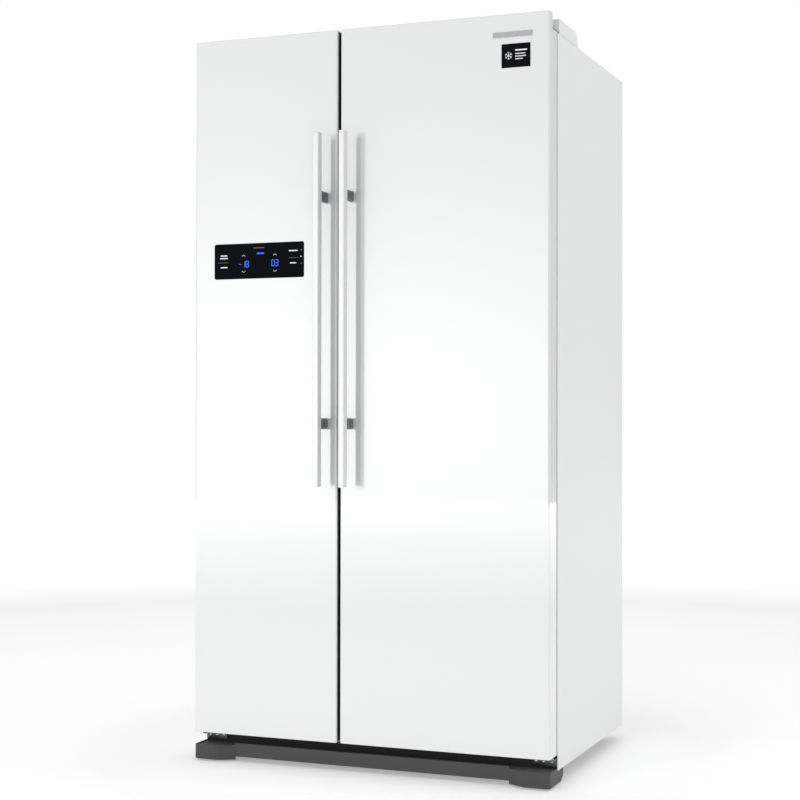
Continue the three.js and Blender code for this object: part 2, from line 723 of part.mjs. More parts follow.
/** A mount between the bar and the door: 1 is the upper one and -1 the lower. */
function handleMount({ side }, end) {
  const x = middle(handleSpan(side));
  const z = HANDLE_TOP - HANDLE_LENGTH / 2 + (end * MOUNT_SPACING) / 2;
  const round = Array(4).fill(MOUNT_ROUND);
  const outline = rounded(grown([x, x], MOUNT_WIDTH / 2), grown([z, z], MOUNT_HEIGHT / 2), round);
  return panel(outline, [-HANDLE_STAND + GAP, -GAP]);
}

// ---- Shelves and drawers ----

/** The shelf over the drawers comes as far forward as they do. */
function shelfFront(top) {
  return top === DRAWER_COVER ? DRAWER_FRONT : SHELF_FRONT;
}

function shelf({ cavity: span, shelfBack }, top) {
  const x = grown(span, -SLIDE_CLEARANCE);
  const front = shelfFront(top);
  return join(
    block(x, [front, shelfBack - SLIDE_CLEARANCE], [top - SHELF_THICKNESS, top]),
    block(grown(x, -RIB_WIDTH), [front - SHELF_TRIM_DEPTH, front], [top - SHELF_TRIM_HEIGHT / 2, top + 2]),
    block(grown(x, -RIB_WIDTH), [front - 1, front + 1], [top - SHELF_THICKNESS, top]),
  );
}

/** The height of the underside of a drawer's lip, which slides on the ribs. */
function drawerLip(top) {
  return top - DRAWER_LIP_THICKNESS;
}

/** A drawer: an open box, a lip along both sides, and a face with a pull along its top. */
function drawer({ cavity: span }, bottom, height, back) {
  const top = bottom + height;
  const x = grown(span, -RIB_WIDTH - SLIDE_CLEARANCE);
  const wide = grown(x, DRAWER_LIP);
  const y = [DRAWER_FRONT + DRAWER_FACE - DRAWER_WALL, back - 2 * SLIDE_CLEARANCE];
  const lips = cut(
    block(wide, y, [drawerLip(top), top]),
    block(grown(x, -1), grown(y, 1), [bottom, top + 1]),
  );
  return join(
    openBox(x, y, [bottom, top], DRAWER_WALL),
    lips,
    block(wide, [DRAWER_FRONT, DRAWER_FRONT + DRAWER_FACE], [bottom, top]),
    block(grown(x, -2 * DRAWER_LIP), [DRAWER_FRONT - DRAWER_PULL, DRAWER_FRONT + 1], [top - 14, top - 8]),
  );
}

// ---- Cold air and ice ----

/** A finned coil: end plates and fins joined by tubes along X. */
function finnedCoil(x, y, z, fins, tubes) {
  const plate = 2;
  const pitch = (x[1] - x[0] - plate) / (fins - 1);
  const plates = Array.from({ length: fins }, (_, i) => {
    const start = x[0] + i * pitch;
    const shrink = i === 0 || i === fins - 1 ? 0 : 3;
    return block([start, start + plate], grown(y, -shrink), grown(z, -shrink));
  });
  return join(...tubes.map((at) => bar("x", 4.5, grown(x, -1), at, 6)), ...plates);
}

function evaporator() {
  const x = grown(FREEZER.cavity, -25);
  const y = [EVAPORATOR_COVER_FRONT + COVER_THICKNESS + 3, CAVITY_BACK - 3];
  const bottom = STEP_TOP + 30;
  const z = [bottom, bottom + EVAPORATOR_HEIGHT];
  const rows = spread(z[0], z[1], 3).map((h) => [middle(y), h]);
  return finnedCoil(x, y, z, 9, rows);
}

function evaporatorFanPlace() {
  const bottom = STEP_TOP + 30 + EVAPORATOR_HEIGHT + 20;
  return [middle(FREEZER.cavity), bottom + EVAPORATOR_FAN_RADIUS];
}

/** The inner back wall of the freezer, with a mouth for the fan, its three arms and air slots. */
function evaporatorCover() {
  const [x, z] = evaporatorFanPlace();
  const y = [EVAPORATOR_COVER_FRONT, EVAPORATOR_COVER_FRONT + COVER_THICKNESS];
  const span = grown(FREEZER.cavity, -RIB_WIDTH - 1);
  const slots = spread(z + 150, ICE_BUCKET_TOP - ICE_BUCKET_HEIGHT, 4).map((h) =>
    block(grown([x, x], 60), grown(y, 1), [h, h + 10]),
  );
  const sheet = cut(
    block(span, y, [STEP_TOP + 3, CEILING - GAP]),
    bar("y", EVAPORATOR_FAN_RADIUS + 4, grown(y, 1), [x, z]),
    ...slots,
  );
  const arm = block([x - 4, x + 4], y, [z, z + EVAPORATOR_FAN_RADIUS + 6]);
  const arms = [0, 1, 2].map((i) =>
    arm.clone().translate(-x, 0, -z).rotateY((i * 2 * Math.PI) / 3).translate(x, 0, z),
  );
  return join(sheet, ...arms, bar("y", 16, y, [x, z]));
}

/** An axial fan: a hub with five pitched blades, along "x" or "y". */
function fan(axis, radius, [from, to], at) {
  const depth = to - from;
  const hub = new THREE.CylinderGeometry(radius * 0.32, radius * 0.32, depth, 20);
  const blades = Array.from({ length: 5 }, (_, i) =>
    new THREE.BoxGeometry(radius * 0.78, 2, depth * 0.9)
      .rotateX(Math.PI / 2 - 0.55)
      .translate(radius * 0.6, 0, 0)
      .rotateY((i * 2 * Math.PI) / 5),
  );
  const rotor = geometryOf(join(hub, ...blades));
  const along = (from + to) / 2;
  return axis === "x"
    ? rotor.rotateZ(-Math.PI / 2).translate(along, ...at)
    : rotor.translate(at[0], along, at[1]);
}

function evaporatorFan() {
  const front = EVAPORATOR_COVER_FRONT + COVER_THICKNESS + 2;
  return fan("y", EVAPORATOR_FAN_RADIUS, [front, front + 22], evaporatorFanPlace());
}

/** The air duct on the fridge's back wall, with a slot above each shelf. */
function airDuctCover() {
  const x = middle(FRIDGE.cavity);
  const y = [DUCT_FRONT, CAVITY_BACK - GAP];
  const z = [DRAWER_COVER + 30, CEILING - 30];
  const slots = FRIDGE_SHELVES.flatMap((h) =>
    [-1, 1].map((s) => block(grown([x + s * 40, x + s * 40], 24), grown(y, 1), [h + 60, h + 68])),
  );
  return cut(block(grown([x, x], DUCT_WIDTH / 2), y, z), ...slots);
}

/** The frame of the ice maker: a top, two sides with a ledge for the bucket and two end plates. */
function iceMakerFrame() {
  const half = ICE_BUCKET_WIDTH / 2 + SLIDE_CLEARANCE;
  const back = ICE_FRONT + ICE_TRAY_LENGTH + 2 * ICE_PLATE + 8;
  const y = [ICE_FRONT, back];
  const bottom = ICE_BUCKET_TOP - ICE_BUCKET_HEIGHT - GAP;
  const top = CEILING - GAP;
  const ends = [ICE_FRONT, back - ICE_PLATE].map((start) =>
    block(grown([ICE_MIDDLE, ICE_MIDDLE], half), [start, start + ICE_PLATE], [ICE_BUCKET_TOP + 2, top]),
  );
  const sides = [-1, 1].flatMap((s) => {
    const near = ICE_MIDDLE + s * half;
    const wall = [near, near + s * ICE_PLATE].sort((a, b) => a - b);
    const ledge = [near - s * 12, near + s * ICE_PLATE].sort((a, b) => a - b);
    return [block(wall, y, [bottom - ICE_PLATE, top]), block(ledge, y, [bottom - ICE_PLATE, bottom])];
  });
  const hole = bar("y", PIN_RADIUS + PIN_CLEARANCE, grown(y, 1), [ICE_MIDDLE, ICE_AXIS]);
  return cut(
    join(block(grown([ICE_MIDDLE, ICE_MIDDLE], half + 1), y, [top - ICE_PLATE, top]), ...ends, ...sides),
    hole,
  );
}

/** The tray that twists over to drop its ice: two rows of cups, a shaft and a knob in front. */
function iceTray() {
  const start = ICE_FRONT + ICE_PLATE + 4;
  const y = [start, start + ICE_TRAY_LENGTH];
  const z = grown([ICE_AXIS, ICE_AXIS], ICE_TRAY_HEIGHT / 2);
  const cup = ICE_TRAY_LENGTH / 6;
  const cups = [0, 1, 2, 3, 4, 5].flatMap((i) =>
    [-1, 1].map((s) => {
      const x = ICE_MIDDLE + (s * ICE_TRAY_WIDTH) / 4;
      return block(
        grown([x, x], ICE_TRAY_WIDTH / 4 - 2),
        [start + i * cup + 2, start + (i + 1) * cup - 2],
        [z[0] + 3, z[1] + 1],
      );
    }),
  );
  const at = [ICE_MIDDLE, ICE_AXIS];
  return join(
    cut(block(grown([ICE_MIDDLE, ICE_MIDDLE], ICE_TRAY_WIDTH / 2), y, z), ...cups),
    bar("y", PIN_RADIUS, [ICE_FRONT - 4, start + 1], at, 16),
    bar("y", PIN_RADIUS, [y[1] - 1, y[1] + 4 + ICE_PLATE], at, 16),
    bar("y", 16, [ICE_FRONT - 12, ICE_FRONT - 3], at, 16),
  );
}

function iceBucket() {
  const x = grown([ICE_MIDDLE, ICE_MIDDLE], ICE_BUCKET_WIDTH / 2);
  const y = [ICE_FRONT - 4, ICE_FRONT + ICE_TRAY_LENGTH + 6];
  return openBox(x, y, [ICE_BUCKET_TOP - ICE_BUCKET_HEIGHT, ICE_BUCKET_TOP], ICE_BUCKET_WALL);
}

// ---- Machinery ----

/** The hermetic compressor: a domed pot on four rubber feet, with its terminal box. */
function compressor() {
  const x = HALF / 2 + 20;
  const foot = MACHINE_FLOOR + GAP;
  const bottom = foot + COMPRESSOR_FEET;
  const r = COMPRESSOR_RADIUS;
  const h = COMPRESSOR_HEIGHT;
  const profile = [
    [0, 0],
    [r * 0.7, 0],
    [r * 0.92, 12],
    [r, 34],
    [r, h * 0.48],
    [r + 3, h * 0.5],
    [r, h * 0.54],
    [r * 0.97, h * 0.72],
    [r * 0.8, h * 0.9],
    [r * 0.45, h * 0.985],
    [0, h],
  ].map(([u, v]) => new THREE.Vector2(u, v));
  const pot = new THREE.LatheGeometry(profile, ROUND_STEPS)
    .rotateX(Math.PI / 2)
    .translate(x, MACHINE_MIDDLE, bottom);
  const plate = block(grown([x, x], r + 14), grown([MACHINE_MIDDLE, MACHINE_MIDDLE], r * 0.6), [
    bottom,
    bottom + 4,
  ]);
  const feet = [-1, 1].flatMap((s) =>
    [-1, 1].map((t) =>
      bar("z", 9, [foot, bottom + 1], [x + s * (r + 3), MACHINE_MIDDLE + t * (r * 0.6 - 11)], 12),
    ),
  );
  const box = block([x + r * 0.6, x + r + 26], grown([MACHINE_MIDDLE, MACHINE_MIDDLE], 26), [
    bottom + 40,
    bottom + 96,
  ]);
  return join(pot, plate, box, ...feet);
}

function condenserSpan() {
  const start = -HALF + SHEET + MACHINE_SIDE_WALL + 24;
  return [start, start + CONDENSER_WIDTH];
}

/** The condenser coil, held over the drip tray by its two end plates. */
function condenser() {
  const x = condenserSpan();
  const y = grown([MACHINE_MIDDLE, MACHINE_MIDDLE], CONDENSER_DEPTH / 2);
  const z = [CONDENSER_RISE, CONDENSER_RISE + CONDENSER_HEIGHT];
  const rows = spread(z[0], z[1], 2).flatMap((h) => spread(y[0], y[1], 2).map((d) => [d, h]));
  const legs = [x[0], x[1] - 2].map((start) =>
    block([start, start + 2], y, [MACHINE_FLOOR + GAP, z[0] + 5]),
  );
  return join(finnedCoil(x, y, z, 9, rows), ...legs);
}

function dripTray() {
  const x = grown(condenserSpan(), -4);
  const y = grown([MACHINE_MIDDLE, MACHINE_MIDDLE], CONDENSER_DEPTH / 2 + 8);
  return openBox(x, y, [MACHINE_FLOOR + GAP, MACHINE_FLOOR + GAP + TRAY_HEIGHT], 2);
}

function machineFanPlace() {
  return [MACHINE_MIDDLE, CONDENSER_RISE + CONDENSER_HEIGHT / 2 + 6];
}

/** The wall between condenser and compressor, with a round mouth and a bridge for the motor. */
function fanShroud() {
  const start = condenserSpan()[1] + 34;
  const x = [start, start + 3];
  const [y, z] = machineFanPlace();
  const sheet = cut(
    block(x, [MACHINE_FRONT + 4, BACK - 8], [MACHINE_FLOOR + GAP, MACHINE_TOP - 4]),
    bar("x", MACHINE_FAN_RADIUS + 5, grown(x, 1), [y, z]),
  );
  const bridge = block(x, [y - 7, y + 7], grown([z, z], MACHINE_FAN_RADIUS + 7));
  return join(sheet, bridge, bar("x", 24, [start, start + 30], [y, z]));
}

function condenserFan() {
  const end = condenserSpan()[1] + 32;
  return fan("x", MACHINE_FAN_RADIUS, [end - 24, end], machineFanPlace());
}

/** The cover over the machine compartment at the back, with two banks of air slots. */
function compressorCover() {
  const inside = HALF - SHEET - GAP;
  const y = [BACK - SHEET, BACK];
  const z = [MACHINE_FLOOR + 4, MACHINE_TOP - GAP];
  const slots = [-1, 1].flatMap((s) =>
    spread(z[0] + 10, z[1] - 10, 7).map((h) =>
      block(grown([s * 215, s * 215], 130), grown(y, 1), [h - 4, h + 4]),
    ),
  );
  return cut(block([-inside, inside], y, z), ...slots);
}

// ---- Assembly ----

const FINISHES = {
  doorPaint: { color: 0xf4f5f5, roughness: 0.18, metalness: 0 },
  casePaint: { color: 0xe9eaea, roughness: 0.35, metalness: 0 },
  whitePlastic: { color: 0xf1f2f2, roughness: 0.4, metalness: 0 },
  clearPlastic: { color: 0xdfe8ec, roughness: 0.15, metalness: 0 },
  shelfGlass: { color: 0xcfdcda, roughness: 0.08, metalness: 0 },
  foam: { color: 0xe6d9a8, roughness: 0.9, metalness: 0 },
  gasket: { color: 0x8b8d90, roughness: 0.7, metalness: 0 },
  handle: { color: 0xd9dbdd, roughness: 0.25, metalness: 0.9 },
  mount: { color: 0x6b6d6f, roughness: 0.45, metalness: 0.3 },
  display: { color: 0x0a0b0e, roughness: 0.08, metalness: 0 },
  basePlastic: { color: 0x56585a, roughness: 0.6, metalness: 0 },
  zincSteel: { color: 0xb4b7b9, roughness: 0.4, metalness: 0.9 },
  blackPaint: { color: 0x17181a, roughness: 0.35, metalness: 0.2 },
  aluminium: { color: 0xc2c5c7, roughness: 0.35, metalness: 1 },
  blackPlastic: { color: 0x1c1d1f, roughness: 0.5, metalness: 0 },
};

const model = new THREE.Group();

function add(name, shape, finish) {
  const material = new THREE.MeshStandardMaterial(FINISHES[finish]);
  const mesh = new THREE.Mesh(geometryOf(shape), material);
  mesh.name = name;
  model.add(mesh);
}

add("outer_case", outerCase(), "casePaint");
add("back_panel", backPanel(), "casePaint");
add("insulation", insulation(), "foam");
add("freezer_liner", liner(FREEZER, FREEZER_SHELVES), "whitePlastic");
add("fridge_liner", liner(FRIDGE, FRIDGE_SHELVES.concat(DRAWER_COVER)), "whitePlastic");
add("base_frame", baseFrame(), "zincSteel");
add("base_cover", baseCover(), "basePlastic");

add("evaporator", evaporator(), "aluminium");
add("evaporator_cover", evaporatorCover(), "whitePlastic");
add("evaporator_fan", evaporatorFan(), "blackPlastic");
add("air_duct_cover", airDuctCover(), "whitePlastic");
add("ice_maker_frame", iceMakerFrame(), "whitePlastic");
add("ice_tray", iceTray(), "clearPlastic");
add("ice_bucket", iceBucket(), "clearPlastic");

add("compressor", compressor(), "blackPaint");
add("condenser", condenser(), "aluminium");
add("condenser_fan", condenserFan(), "blackPlastic");
add("fan_shroud", fanShroud(), "zincSteel");
add("drip_tray", dripTray(), "blackPlastic");
add("compressor_cover", compressorCover(), "zincSteel");

FREEZER_SHELVES.forEach((top, i) => {
  add(`freezer_shelf_${["lower", "upper"][i]}`, shelf(FREEZER, top), "shelfGlass");
});
add("crisper_cover", shelf(FRIDGE, DRAWER_COVER), "shelfGlass");
FRIDGE_SHELVES.forEach((top, i) => {
  add(`fridge_shelf_${["lower", "middle", "upper"][i]}`, shelf(FRIDGE, top), "shelfGlass");
});

[
  ["freezer_drawer", FREEZER],
  ["crisper_drawer", FRIDGE],
].forEach(([name, compartment]) => {
  const lower = drawer(compartment, LOWER_DRAWER, LOWER_DRAWER_HEIGHT, STEP_FRONT);
  const upper = drawer(compartment, UPPER_DRAWER, UPPER_DRAWER_HEIGHT, compartment.shelfBack);
  add(`${name}_lower`, lower, "clearPlastic");
  add(`${name}_upper`, upper, "clearPlastic");
});

[
  ["left", -1],
  ["right", 1],
].forEach(([word, side]) => {
  add(`upper_hinge_${word}`, upperHinge(side), "zincSteel");
  add(`lower_hinge_${word}`, lowerHinge(side), "zincSteel");
  add(`hinge_cover_${word}`, hingeCover(side), "casePaint");
  add(`levelling_leg_${word}`, levellingLeg(side), "basePlastic");
  add(`rear_roller_${word}`, rearRoller(side), "blackPlastic");
});

[
  ["freezer", FREEZER, FREEZER_BINS],
  ["fridge", FRIDGE, FRIDGE_BINS],
].forEach(([name, compartment, bins]) => {
  add(`${name}_door_shell`, doorShell(compartment), "doorPaint");
  add(`${name}_door_foam`, doorFoam(compartment), "foam");
  add(`${name}_door_liner`, doorLiner(compartment, bins), "whitePlastic");
  add(`${name}_door_gasket`, doorGasket(compartment), "gasket");
  add(`${name}_handle_bar`, handleBar(compartment), "handle");
  add(`${name}_handle_mount_upper`, handleMount(compartment, 1), "mount");
  add(`${name}_handle_mount_lower`, handleMount(compartment, -1), "mount");
  bins.forEach((bottom, i) => {
    add(`${name}_door_bin_${i + 1}`, doorBin(compartment, bottom), "clearPlastic");
  });
});
add("display_panel", displaySpace(0, [-DISPLAY_PROUD, DISPLAY_DEPTH]), "display");

// The reference point is the middle of the footprint, on the floor.
model.position.y = (HANDLE_STAND + HANDLE_DEPTH - BACK) / 2;
const refrigerator = new THREE.Group();
refrigerator.add(model);

export default refrigerator;
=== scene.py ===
"""A side-by-side refrigerator, dressed round the solids of its frame.

Painted doors and cabinet, handles, display, seals, shelves, drawers, bins, ice maker, machinery and
base are built here as pieces that ride on the frame's bodies. Lengths are in metres.
"""

import logging
import math
from dataclasses import dataclass
from enum import Enum
from typing import Sequence

import bmesh
import bpy
from mathutils import Matrix, Vector


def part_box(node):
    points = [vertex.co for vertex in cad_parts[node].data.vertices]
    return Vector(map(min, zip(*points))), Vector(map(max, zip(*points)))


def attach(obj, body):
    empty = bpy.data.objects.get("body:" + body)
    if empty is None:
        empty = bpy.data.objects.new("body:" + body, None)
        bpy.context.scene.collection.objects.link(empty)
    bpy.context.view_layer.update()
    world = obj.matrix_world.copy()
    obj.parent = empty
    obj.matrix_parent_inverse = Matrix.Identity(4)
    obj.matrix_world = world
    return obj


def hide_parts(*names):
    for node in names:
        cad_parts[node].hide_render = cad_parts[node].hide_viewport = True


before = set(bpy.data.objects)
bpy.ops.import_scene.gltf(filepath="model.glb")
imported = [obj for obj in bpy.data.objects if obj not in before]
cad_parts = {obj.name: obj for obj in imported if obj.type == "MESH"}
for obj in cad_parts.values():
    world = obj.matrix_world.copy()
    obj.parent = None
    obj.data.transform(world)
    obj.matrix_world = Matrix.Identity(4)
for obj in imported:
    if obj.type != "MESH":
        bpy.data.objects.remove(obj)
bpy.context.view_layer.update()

LOG = logging.getLogger("refrigerator")

Point = tuple[float, float]
Span = tuple[float, float]
Place = tuple[float, float, float]
Ring = tuple[Sequence[Point], float]

MM = 0.001
LEAST_RADIUS = 0.02 * MM
PIN_X = 444 * MM
COAT_ROUGHNESS = 0.04
DUST_COLOR = (0.42, 0.4, 0.37, 1.0)
CORNER_STEPS = 8
EDGE_STEPS = 3
SHARP_ANGLE = math.radians(32)


class Axis(Enum):
    """The axis along which an outline is stretched."""

    X = "x"
    Y = "y"
    Z = "z"

    def place(self, u: float, v: float, w: float) -> Place:
        """The point at outline coordinates u and v and at w along the axis."""
        return {"x": (w, u, v), "y": (u, w, v), "z": (u, v, w)}[self.value]


class Side(Enum):
    """The side of the cabinet that a door or a fitting belongs to."""

    LEFT = -1
    RIGHT = 1


# ---- Shapes ----


def grown(span: Span, by: float) -> Span:
    """The span, longer by an amount at both ends."""
    return span[0] - by, span[1] + by


def around(middle: float, half: float) -> Span:
    """The span that reaches half its length to each side of its middle."""
    return middle - half, middle + half


def between(a: float, b: float) -> Span:
    """The span between two values in either order."""
    return min(a, b), max(a, b)


def spans(node: str) -> tuple[Span, Span, Span]:
    """The spans of a frame node along X, Y and Z."""
    low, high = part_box(node)
    return (low.x, high.x), (low.y, high.y), (low.z, high.z)


def rounded_outline(u: Span, v: Span, radii: Sequence[float], steps: int = CORNER_STEPS) -> list[Point]:
    """A rectangle with a radius at each corner.

    Args:
        u: Its span along the first coordinate.
        v: Its span along the second coordinate.
        radii: The radii at the low-low, high-low, high-high and low-high corners.
        steps: How many edges each corner is made of.

    Returns:
        The points of the outline, counter-clockwise.
    """
    corners = ((u[0], v[0], 1, 1), (u[1], v[0], -1, 1), (u[1], v[1], -1, -1), (u[0], v[1], 1, -1))
    points = []
    for i, ((cu, cv, du, dv), radius) in enumerate(zip(corners, radii)):
        r = max(radius, LEAST_RADIUS)
        for k in range(steps + 1):
            angle = math.pi * (1 + i / 2 + k / steps / 2)
            points.append((cu + du * r + r * math.cos(angle), cv + dv * r + r * math.sin(angle)))
    return points


def shaded(mesh: bpy.types.Mesh, angle: float = SHARP_ANGLE) -> bpy.types.Mesh:
    """The mesh, smooth but for its sharp edges.

    Args:
        mesh: The mesh.
        angle: How far an edge turns to stay sharp.

    Returns:
        The same mesh.
    """
    mesh.shade_smooth()
    mesh.set_sharp_from_angle(angle=angle)
    return mesh


def placed(name: str, mesh: bpy.types.Mesh) -> bpy.types.Object:
    """A new piece that holds a mesh.

    Args:
        name: The piece's name.
        mesh: Its mesh.

    Returns:
        The piece, in the scene.
    """
    piece = bpy.data.objects.new(name, mesh)
    bpy.context.scene.collection.objects.link(piece)
    return piece


def piece_of(name: str, vertices: Sequence[Place], faces: Sequence[Sequence[int]]) -> bpy.types.Object:
    """A new piece from points and faces, with its faces turned outwards.

    Args:
        name: The piece's name.
        vertices: Its points.
        faces: For each face the numbers of its points.

    Returns:
        The piece.
    """
    mesh = bpy.data.meshes.new(name)
    mesh.from_pydata([tuple(v) for v in vertices], [], [list(f) for f in faces])
    shape = bmesh.new()
    shape.from_mesh(mesh)
    bmesh.ops.remove_doubles(shape, verts=shape.verts, dist=LEAST_RADIUS / 4)
    bmesh.ops.recalc_face_normals(shape, faces=shape.faces)
    shape.to_mesh(mesh)
    shape.free()
    return placed(name, shaded(mesh))


def skin(name: str, rings: Sequence[Sequence[Place]], looped: bool = False) -> bpy.types.Object:
    """A skin over rings of equally many points.

    Args:
        name: The piece's name.
        rings: The rings, in order.
        looped: Whether the last ring joins the first, in place of a cap at each end.

    Returns:
        The piece.
    """
    count = len(rings[0])
    faces = []
    for i in range(len(rings) if looped else len(rings) - 1):
        a, b = i * count, (i + 1) % len(rings) * count
        faces += [(a + k, a + (k + 1) % count, b + (k + 1) % count, b + k) for k in range(count)]
    if not looped:
        last = (len(rings) - 1) * count
        faces += [tuple(range(count))[::-1], tuple(range(last, last + count))]
    return piece_of(name, [point for ring in rings for point in ring], faces)


def loft(name: str, axis: Axis, rings: Sequence[Ring], looped: bool = False) -> bpy.types.Object:
    """A skin over outlines that have equally many points.

    Args:
        name: The piece's name.
        axis: The axis that the outlines are stacked along.
        rings: The outlines, each with its place along the axis.
        looped: Whether the last outline joins the first, in place of a cap at each end.

    Returns:
        The piece.
    """
    return skin(name, [[axis.place(u, v, w) for u, v in outline] for outline, w in rings], looped)


def edge_levels(span: Span, edges: Span, steps: int = EDGE_STEPS) -> list[tuple[float, float]]:
    """How far a rounded block is drawn in at heights from its low to its high end.

    Args:
        span: The block's span along its axis.
        edges: The radii of its edges at the low and the high end.
        steps: How many faces round each edge.

    Returns:
        Pairs of inset and height.
    """
    low, high = (max(e, LEAST_RADIUS) for e in edges)
    turns = [math.pi / 2 * k / steps for k in range(steps + 1)]
    levels = [(low * (1 - math.sin(t)), span[0] + low * (1 - math.cos(t))) for t in turns]
    return levels + [(high * (1 - math.sin(t)), span[1] - high * (1 - math.cos(t))) for t in turns[::-1]]


def rounded_block(
    name: str,
    axis: Axis,
    u: Span,
    v: Span,
    w: Span,
    corners: float | Sequence[float] = 0.0,
    edges: float | Span = 0.0,
) -> bpy.types.Object:
    """A block with rounded corners in its outline and rounded edges at both ends.

    Args:
        name: The piece's name.
        axis: The axis across the outline.
        u: The outline's span along its first coordinate.
        v: The outline's span along its second coordinate.
        w: The block's span along the axis.
        corners: One radius, or four, for the outline's corners.
        edges: One radius, or two, for the edges at the low and high end.

    Returns:
        The piece.
    """
    radii = (corners,) * 4 if isinstance(corners, (int, float)) else corners
    ends = (edges, edges) if isinstance(edges, (int, float)) else edges
    rings = [
        (rounded_outline(grown(u, -inset), grown(v, -inset), [r - inset for r in radii]), height)
        for inset, height in edge_levels(w, ends)
    ]
    return loft(name, axis, rings)


def open_tray(
    name: str, x: Span, y: Span, z: Span, wall: float, corners: Sequence[float], draft: float = 0.0
) -> bpy.types.Object:
    """A moulded tray: its walls lean out a little, its rim is round and its inside has a floor.

    Args:
        name: The piece's name.
        x: Its span along X at the rim.
        y: Its span along Y at the rim.
        z: Its span along Z.
        wall: The thickness of walls and floor.
        corners: The four radii of its upright corners.
        draft: How far the walls lean out from floor to rim.

    Returns:
        The piece.
    """

    def ring(inset: float, height: float) -> Ring:
        """The tray's outline, drawn in by an inset, at a height."""
        radii = [max(r - inset, 1.5 * MM) for r in corners]
        return rounded_outline(grown(x, -inset), grown(y, -inset), radii), height

    foot = 2 * MM
    lip = wall * 0.45
    rings = [
        ring(draft + foot, z[0]),
        ring(draft + foot * 0.3, z[0] + foot * 0.3),
        ring(draft, z[0] + foot),
        ring(0, z[1] - lip),
        ring(lip * 0.4, z[1] - lip * 0.3),
        ring(lip, z[1]),
        ring(wall - lip, z[1]),
        ring(wall - lip * 0.4, z[1] - lip * 0.3),
        ring(wall, z[1] - lip),
        ring(draft + wall, z[0] + wall + foot),
        ring(draft + wall + foot * 0.3, z[0] + wall + foot * 0.3),
        ring(draft + wall + foot, z[0] + wall),
    ]
    return loft(name, Axis.Z, rings)


def framed(name: str, axis: Axis, u: Span, v: Span, section: Sequence[Point]) -> bpy.types.Object:
    """A rectangular frame with mitred corners.

    Args:
        name: The piece's name.
        axis: The axis across the frame.
        u: The frame's outer span along the first coordinate.
        v: The frame's outer span along the second coordinate.
        section: The frame's section: pairs of inset from the outer edge and place along the axis.

    Returns:
        The piece.
    """
    rings = []
    for inset, height in section:
        (u0, u1), (v0, v1) = grown(u, -inset), grown(v, -inset)
        rings.append(([(u0, v0), (u1, v0), (u1, v1), (u0, v1)], height))
    return loft(name, axis, rings, looped=True)


def turned(
    name: str, axis: Axis, centre: Point, profile: Sequence[Point], steps: int = 48
) -> bpy.types.Object:
    """A round piece.

    Args:
        name: The piece's name.
        axis: The axis that it is turned about.
        centre: Where the axis stands.
        profile: Pairs of radius and place along the axis, from one end to the other.
        steps: How many faces go round it.

    Returns:
        The piece.
    """
    turns = [2 * math.pi * k / steps for k in range(steps)]
    rings = []
    for radius, w in profile:
        r = max(radius, LEAST_RADIUS)
        rings.append(([(centre[0] + r * math.cos(t), centre[1] + r * math.sin(t)) for t in turns], w))
    return loft(name, axis, rings)


def smooth_path(points: Sequence[Place], radius: float, steps: int = 6) -> list[Vector]:
    """A path with its corners turned into curves.

    Args:
        points: The path's corners.
        radius: The radius of the curves, about.
        steps: How many edges each curve is made of.

    Returns:
        The points of the path.
    """
    corners = [Vector(p) for p in points]
    path = [corners[0]]
    for before, corner, after in zip(corners, corners[1:], corners[2:]):
        reach = min(radius, (corner - before).length / 2, (after - corner).length / 2)
        start = corner + (before - corner).normalized() * reach
        end = corner + (after - corner).normalized() * reach
        for k in range(steps + 1):
            t = k / steps
            path.append(start * (1 - t) ** 2 + corner * 2 * t * (1 - t) + end * t**2)
    return path + [corners[-1]]


def tube(name: str, points: Sequence[Place], radius: float, bend: float, steps: int = 12) -> bpy.types.Object:
    """A round tube or wire along a path.

    Args:
        name: The piece's name.
        points: The corners of the path.
        radius: The tube's radius.
        bend: The radius of its bends.
        steps: How many faces go round it.

    Returns:
        The piece.
    """
    path = smooth_path(points, bend)
    rings: list[list[Vector]] = []
    side = (path[1] - path[0]).orthogonal().normalized()
    for i, at in enumerate(path):
        along = (path[min(i + 1, len(path) - 1)] - path[max(i - 1, 0)]).normalized()
        side = (side - along * side.dot(along)).normalized()
        other = along.cross(side)
        turns = [2 * math.pi * k / steps for k in range(steps)]
        rings.append([at + (side * math.cos(t) + other * math.sin(t)) * radius for t in turns])
    return skin(name, rings)


def strokes(name: str, lines: Sequence[tuple[Point, Point, float]], y: Span) -> bpy.types.Object:
    """Flat printed marks in an upright plane that faces the front.

    Args:
        name: The piece's name.
        lines: For each mark its two end points in X and Z and its width.
        y: The marks' span in depth.

    Returns:
        The piece.
    """
    vertices: list[Place] = []
    faces: list[tuple[int, ...]] = []
    for start, end, width in lines:
        a, b = Vector(start), Vector(end)
        along = (b - a).normalized()
        across = Vector((-along.y, along.x)) * width / 2
        corners = [a - across, b - across, b + across, a + across]
        base = len(vertices)
        vertices += [(c.x, y[0], c.y) for c in corners] + [(c.x, y[1], c.y) for c in corners]
        faces += [tuple(range(base, base + 4)), tuple(range(base + 7, base + 3, -1))]
        faces += [(base + k, base + 4 + k, base + 4 + (k + 1) % 4, base + (k + 1) % 4) for k in range(4)]
    mesh = bpy.data.meshes.new(name)
    mesh.from_pydata(vertices, [], faces)
    return placed(name, mesh)


def evaluated(piece: bpy.types.Object) -> None:
    """Replaces a piece's mesh by the one that its modifiers make, and drops the modifiers."""
    mesh = bpy.data.meshes.new_from_object(piece.evaluated_get(bpy.context.evaluated_depsgraph_get()))
    piece.modifiers.clear()
    piece.data = mesh


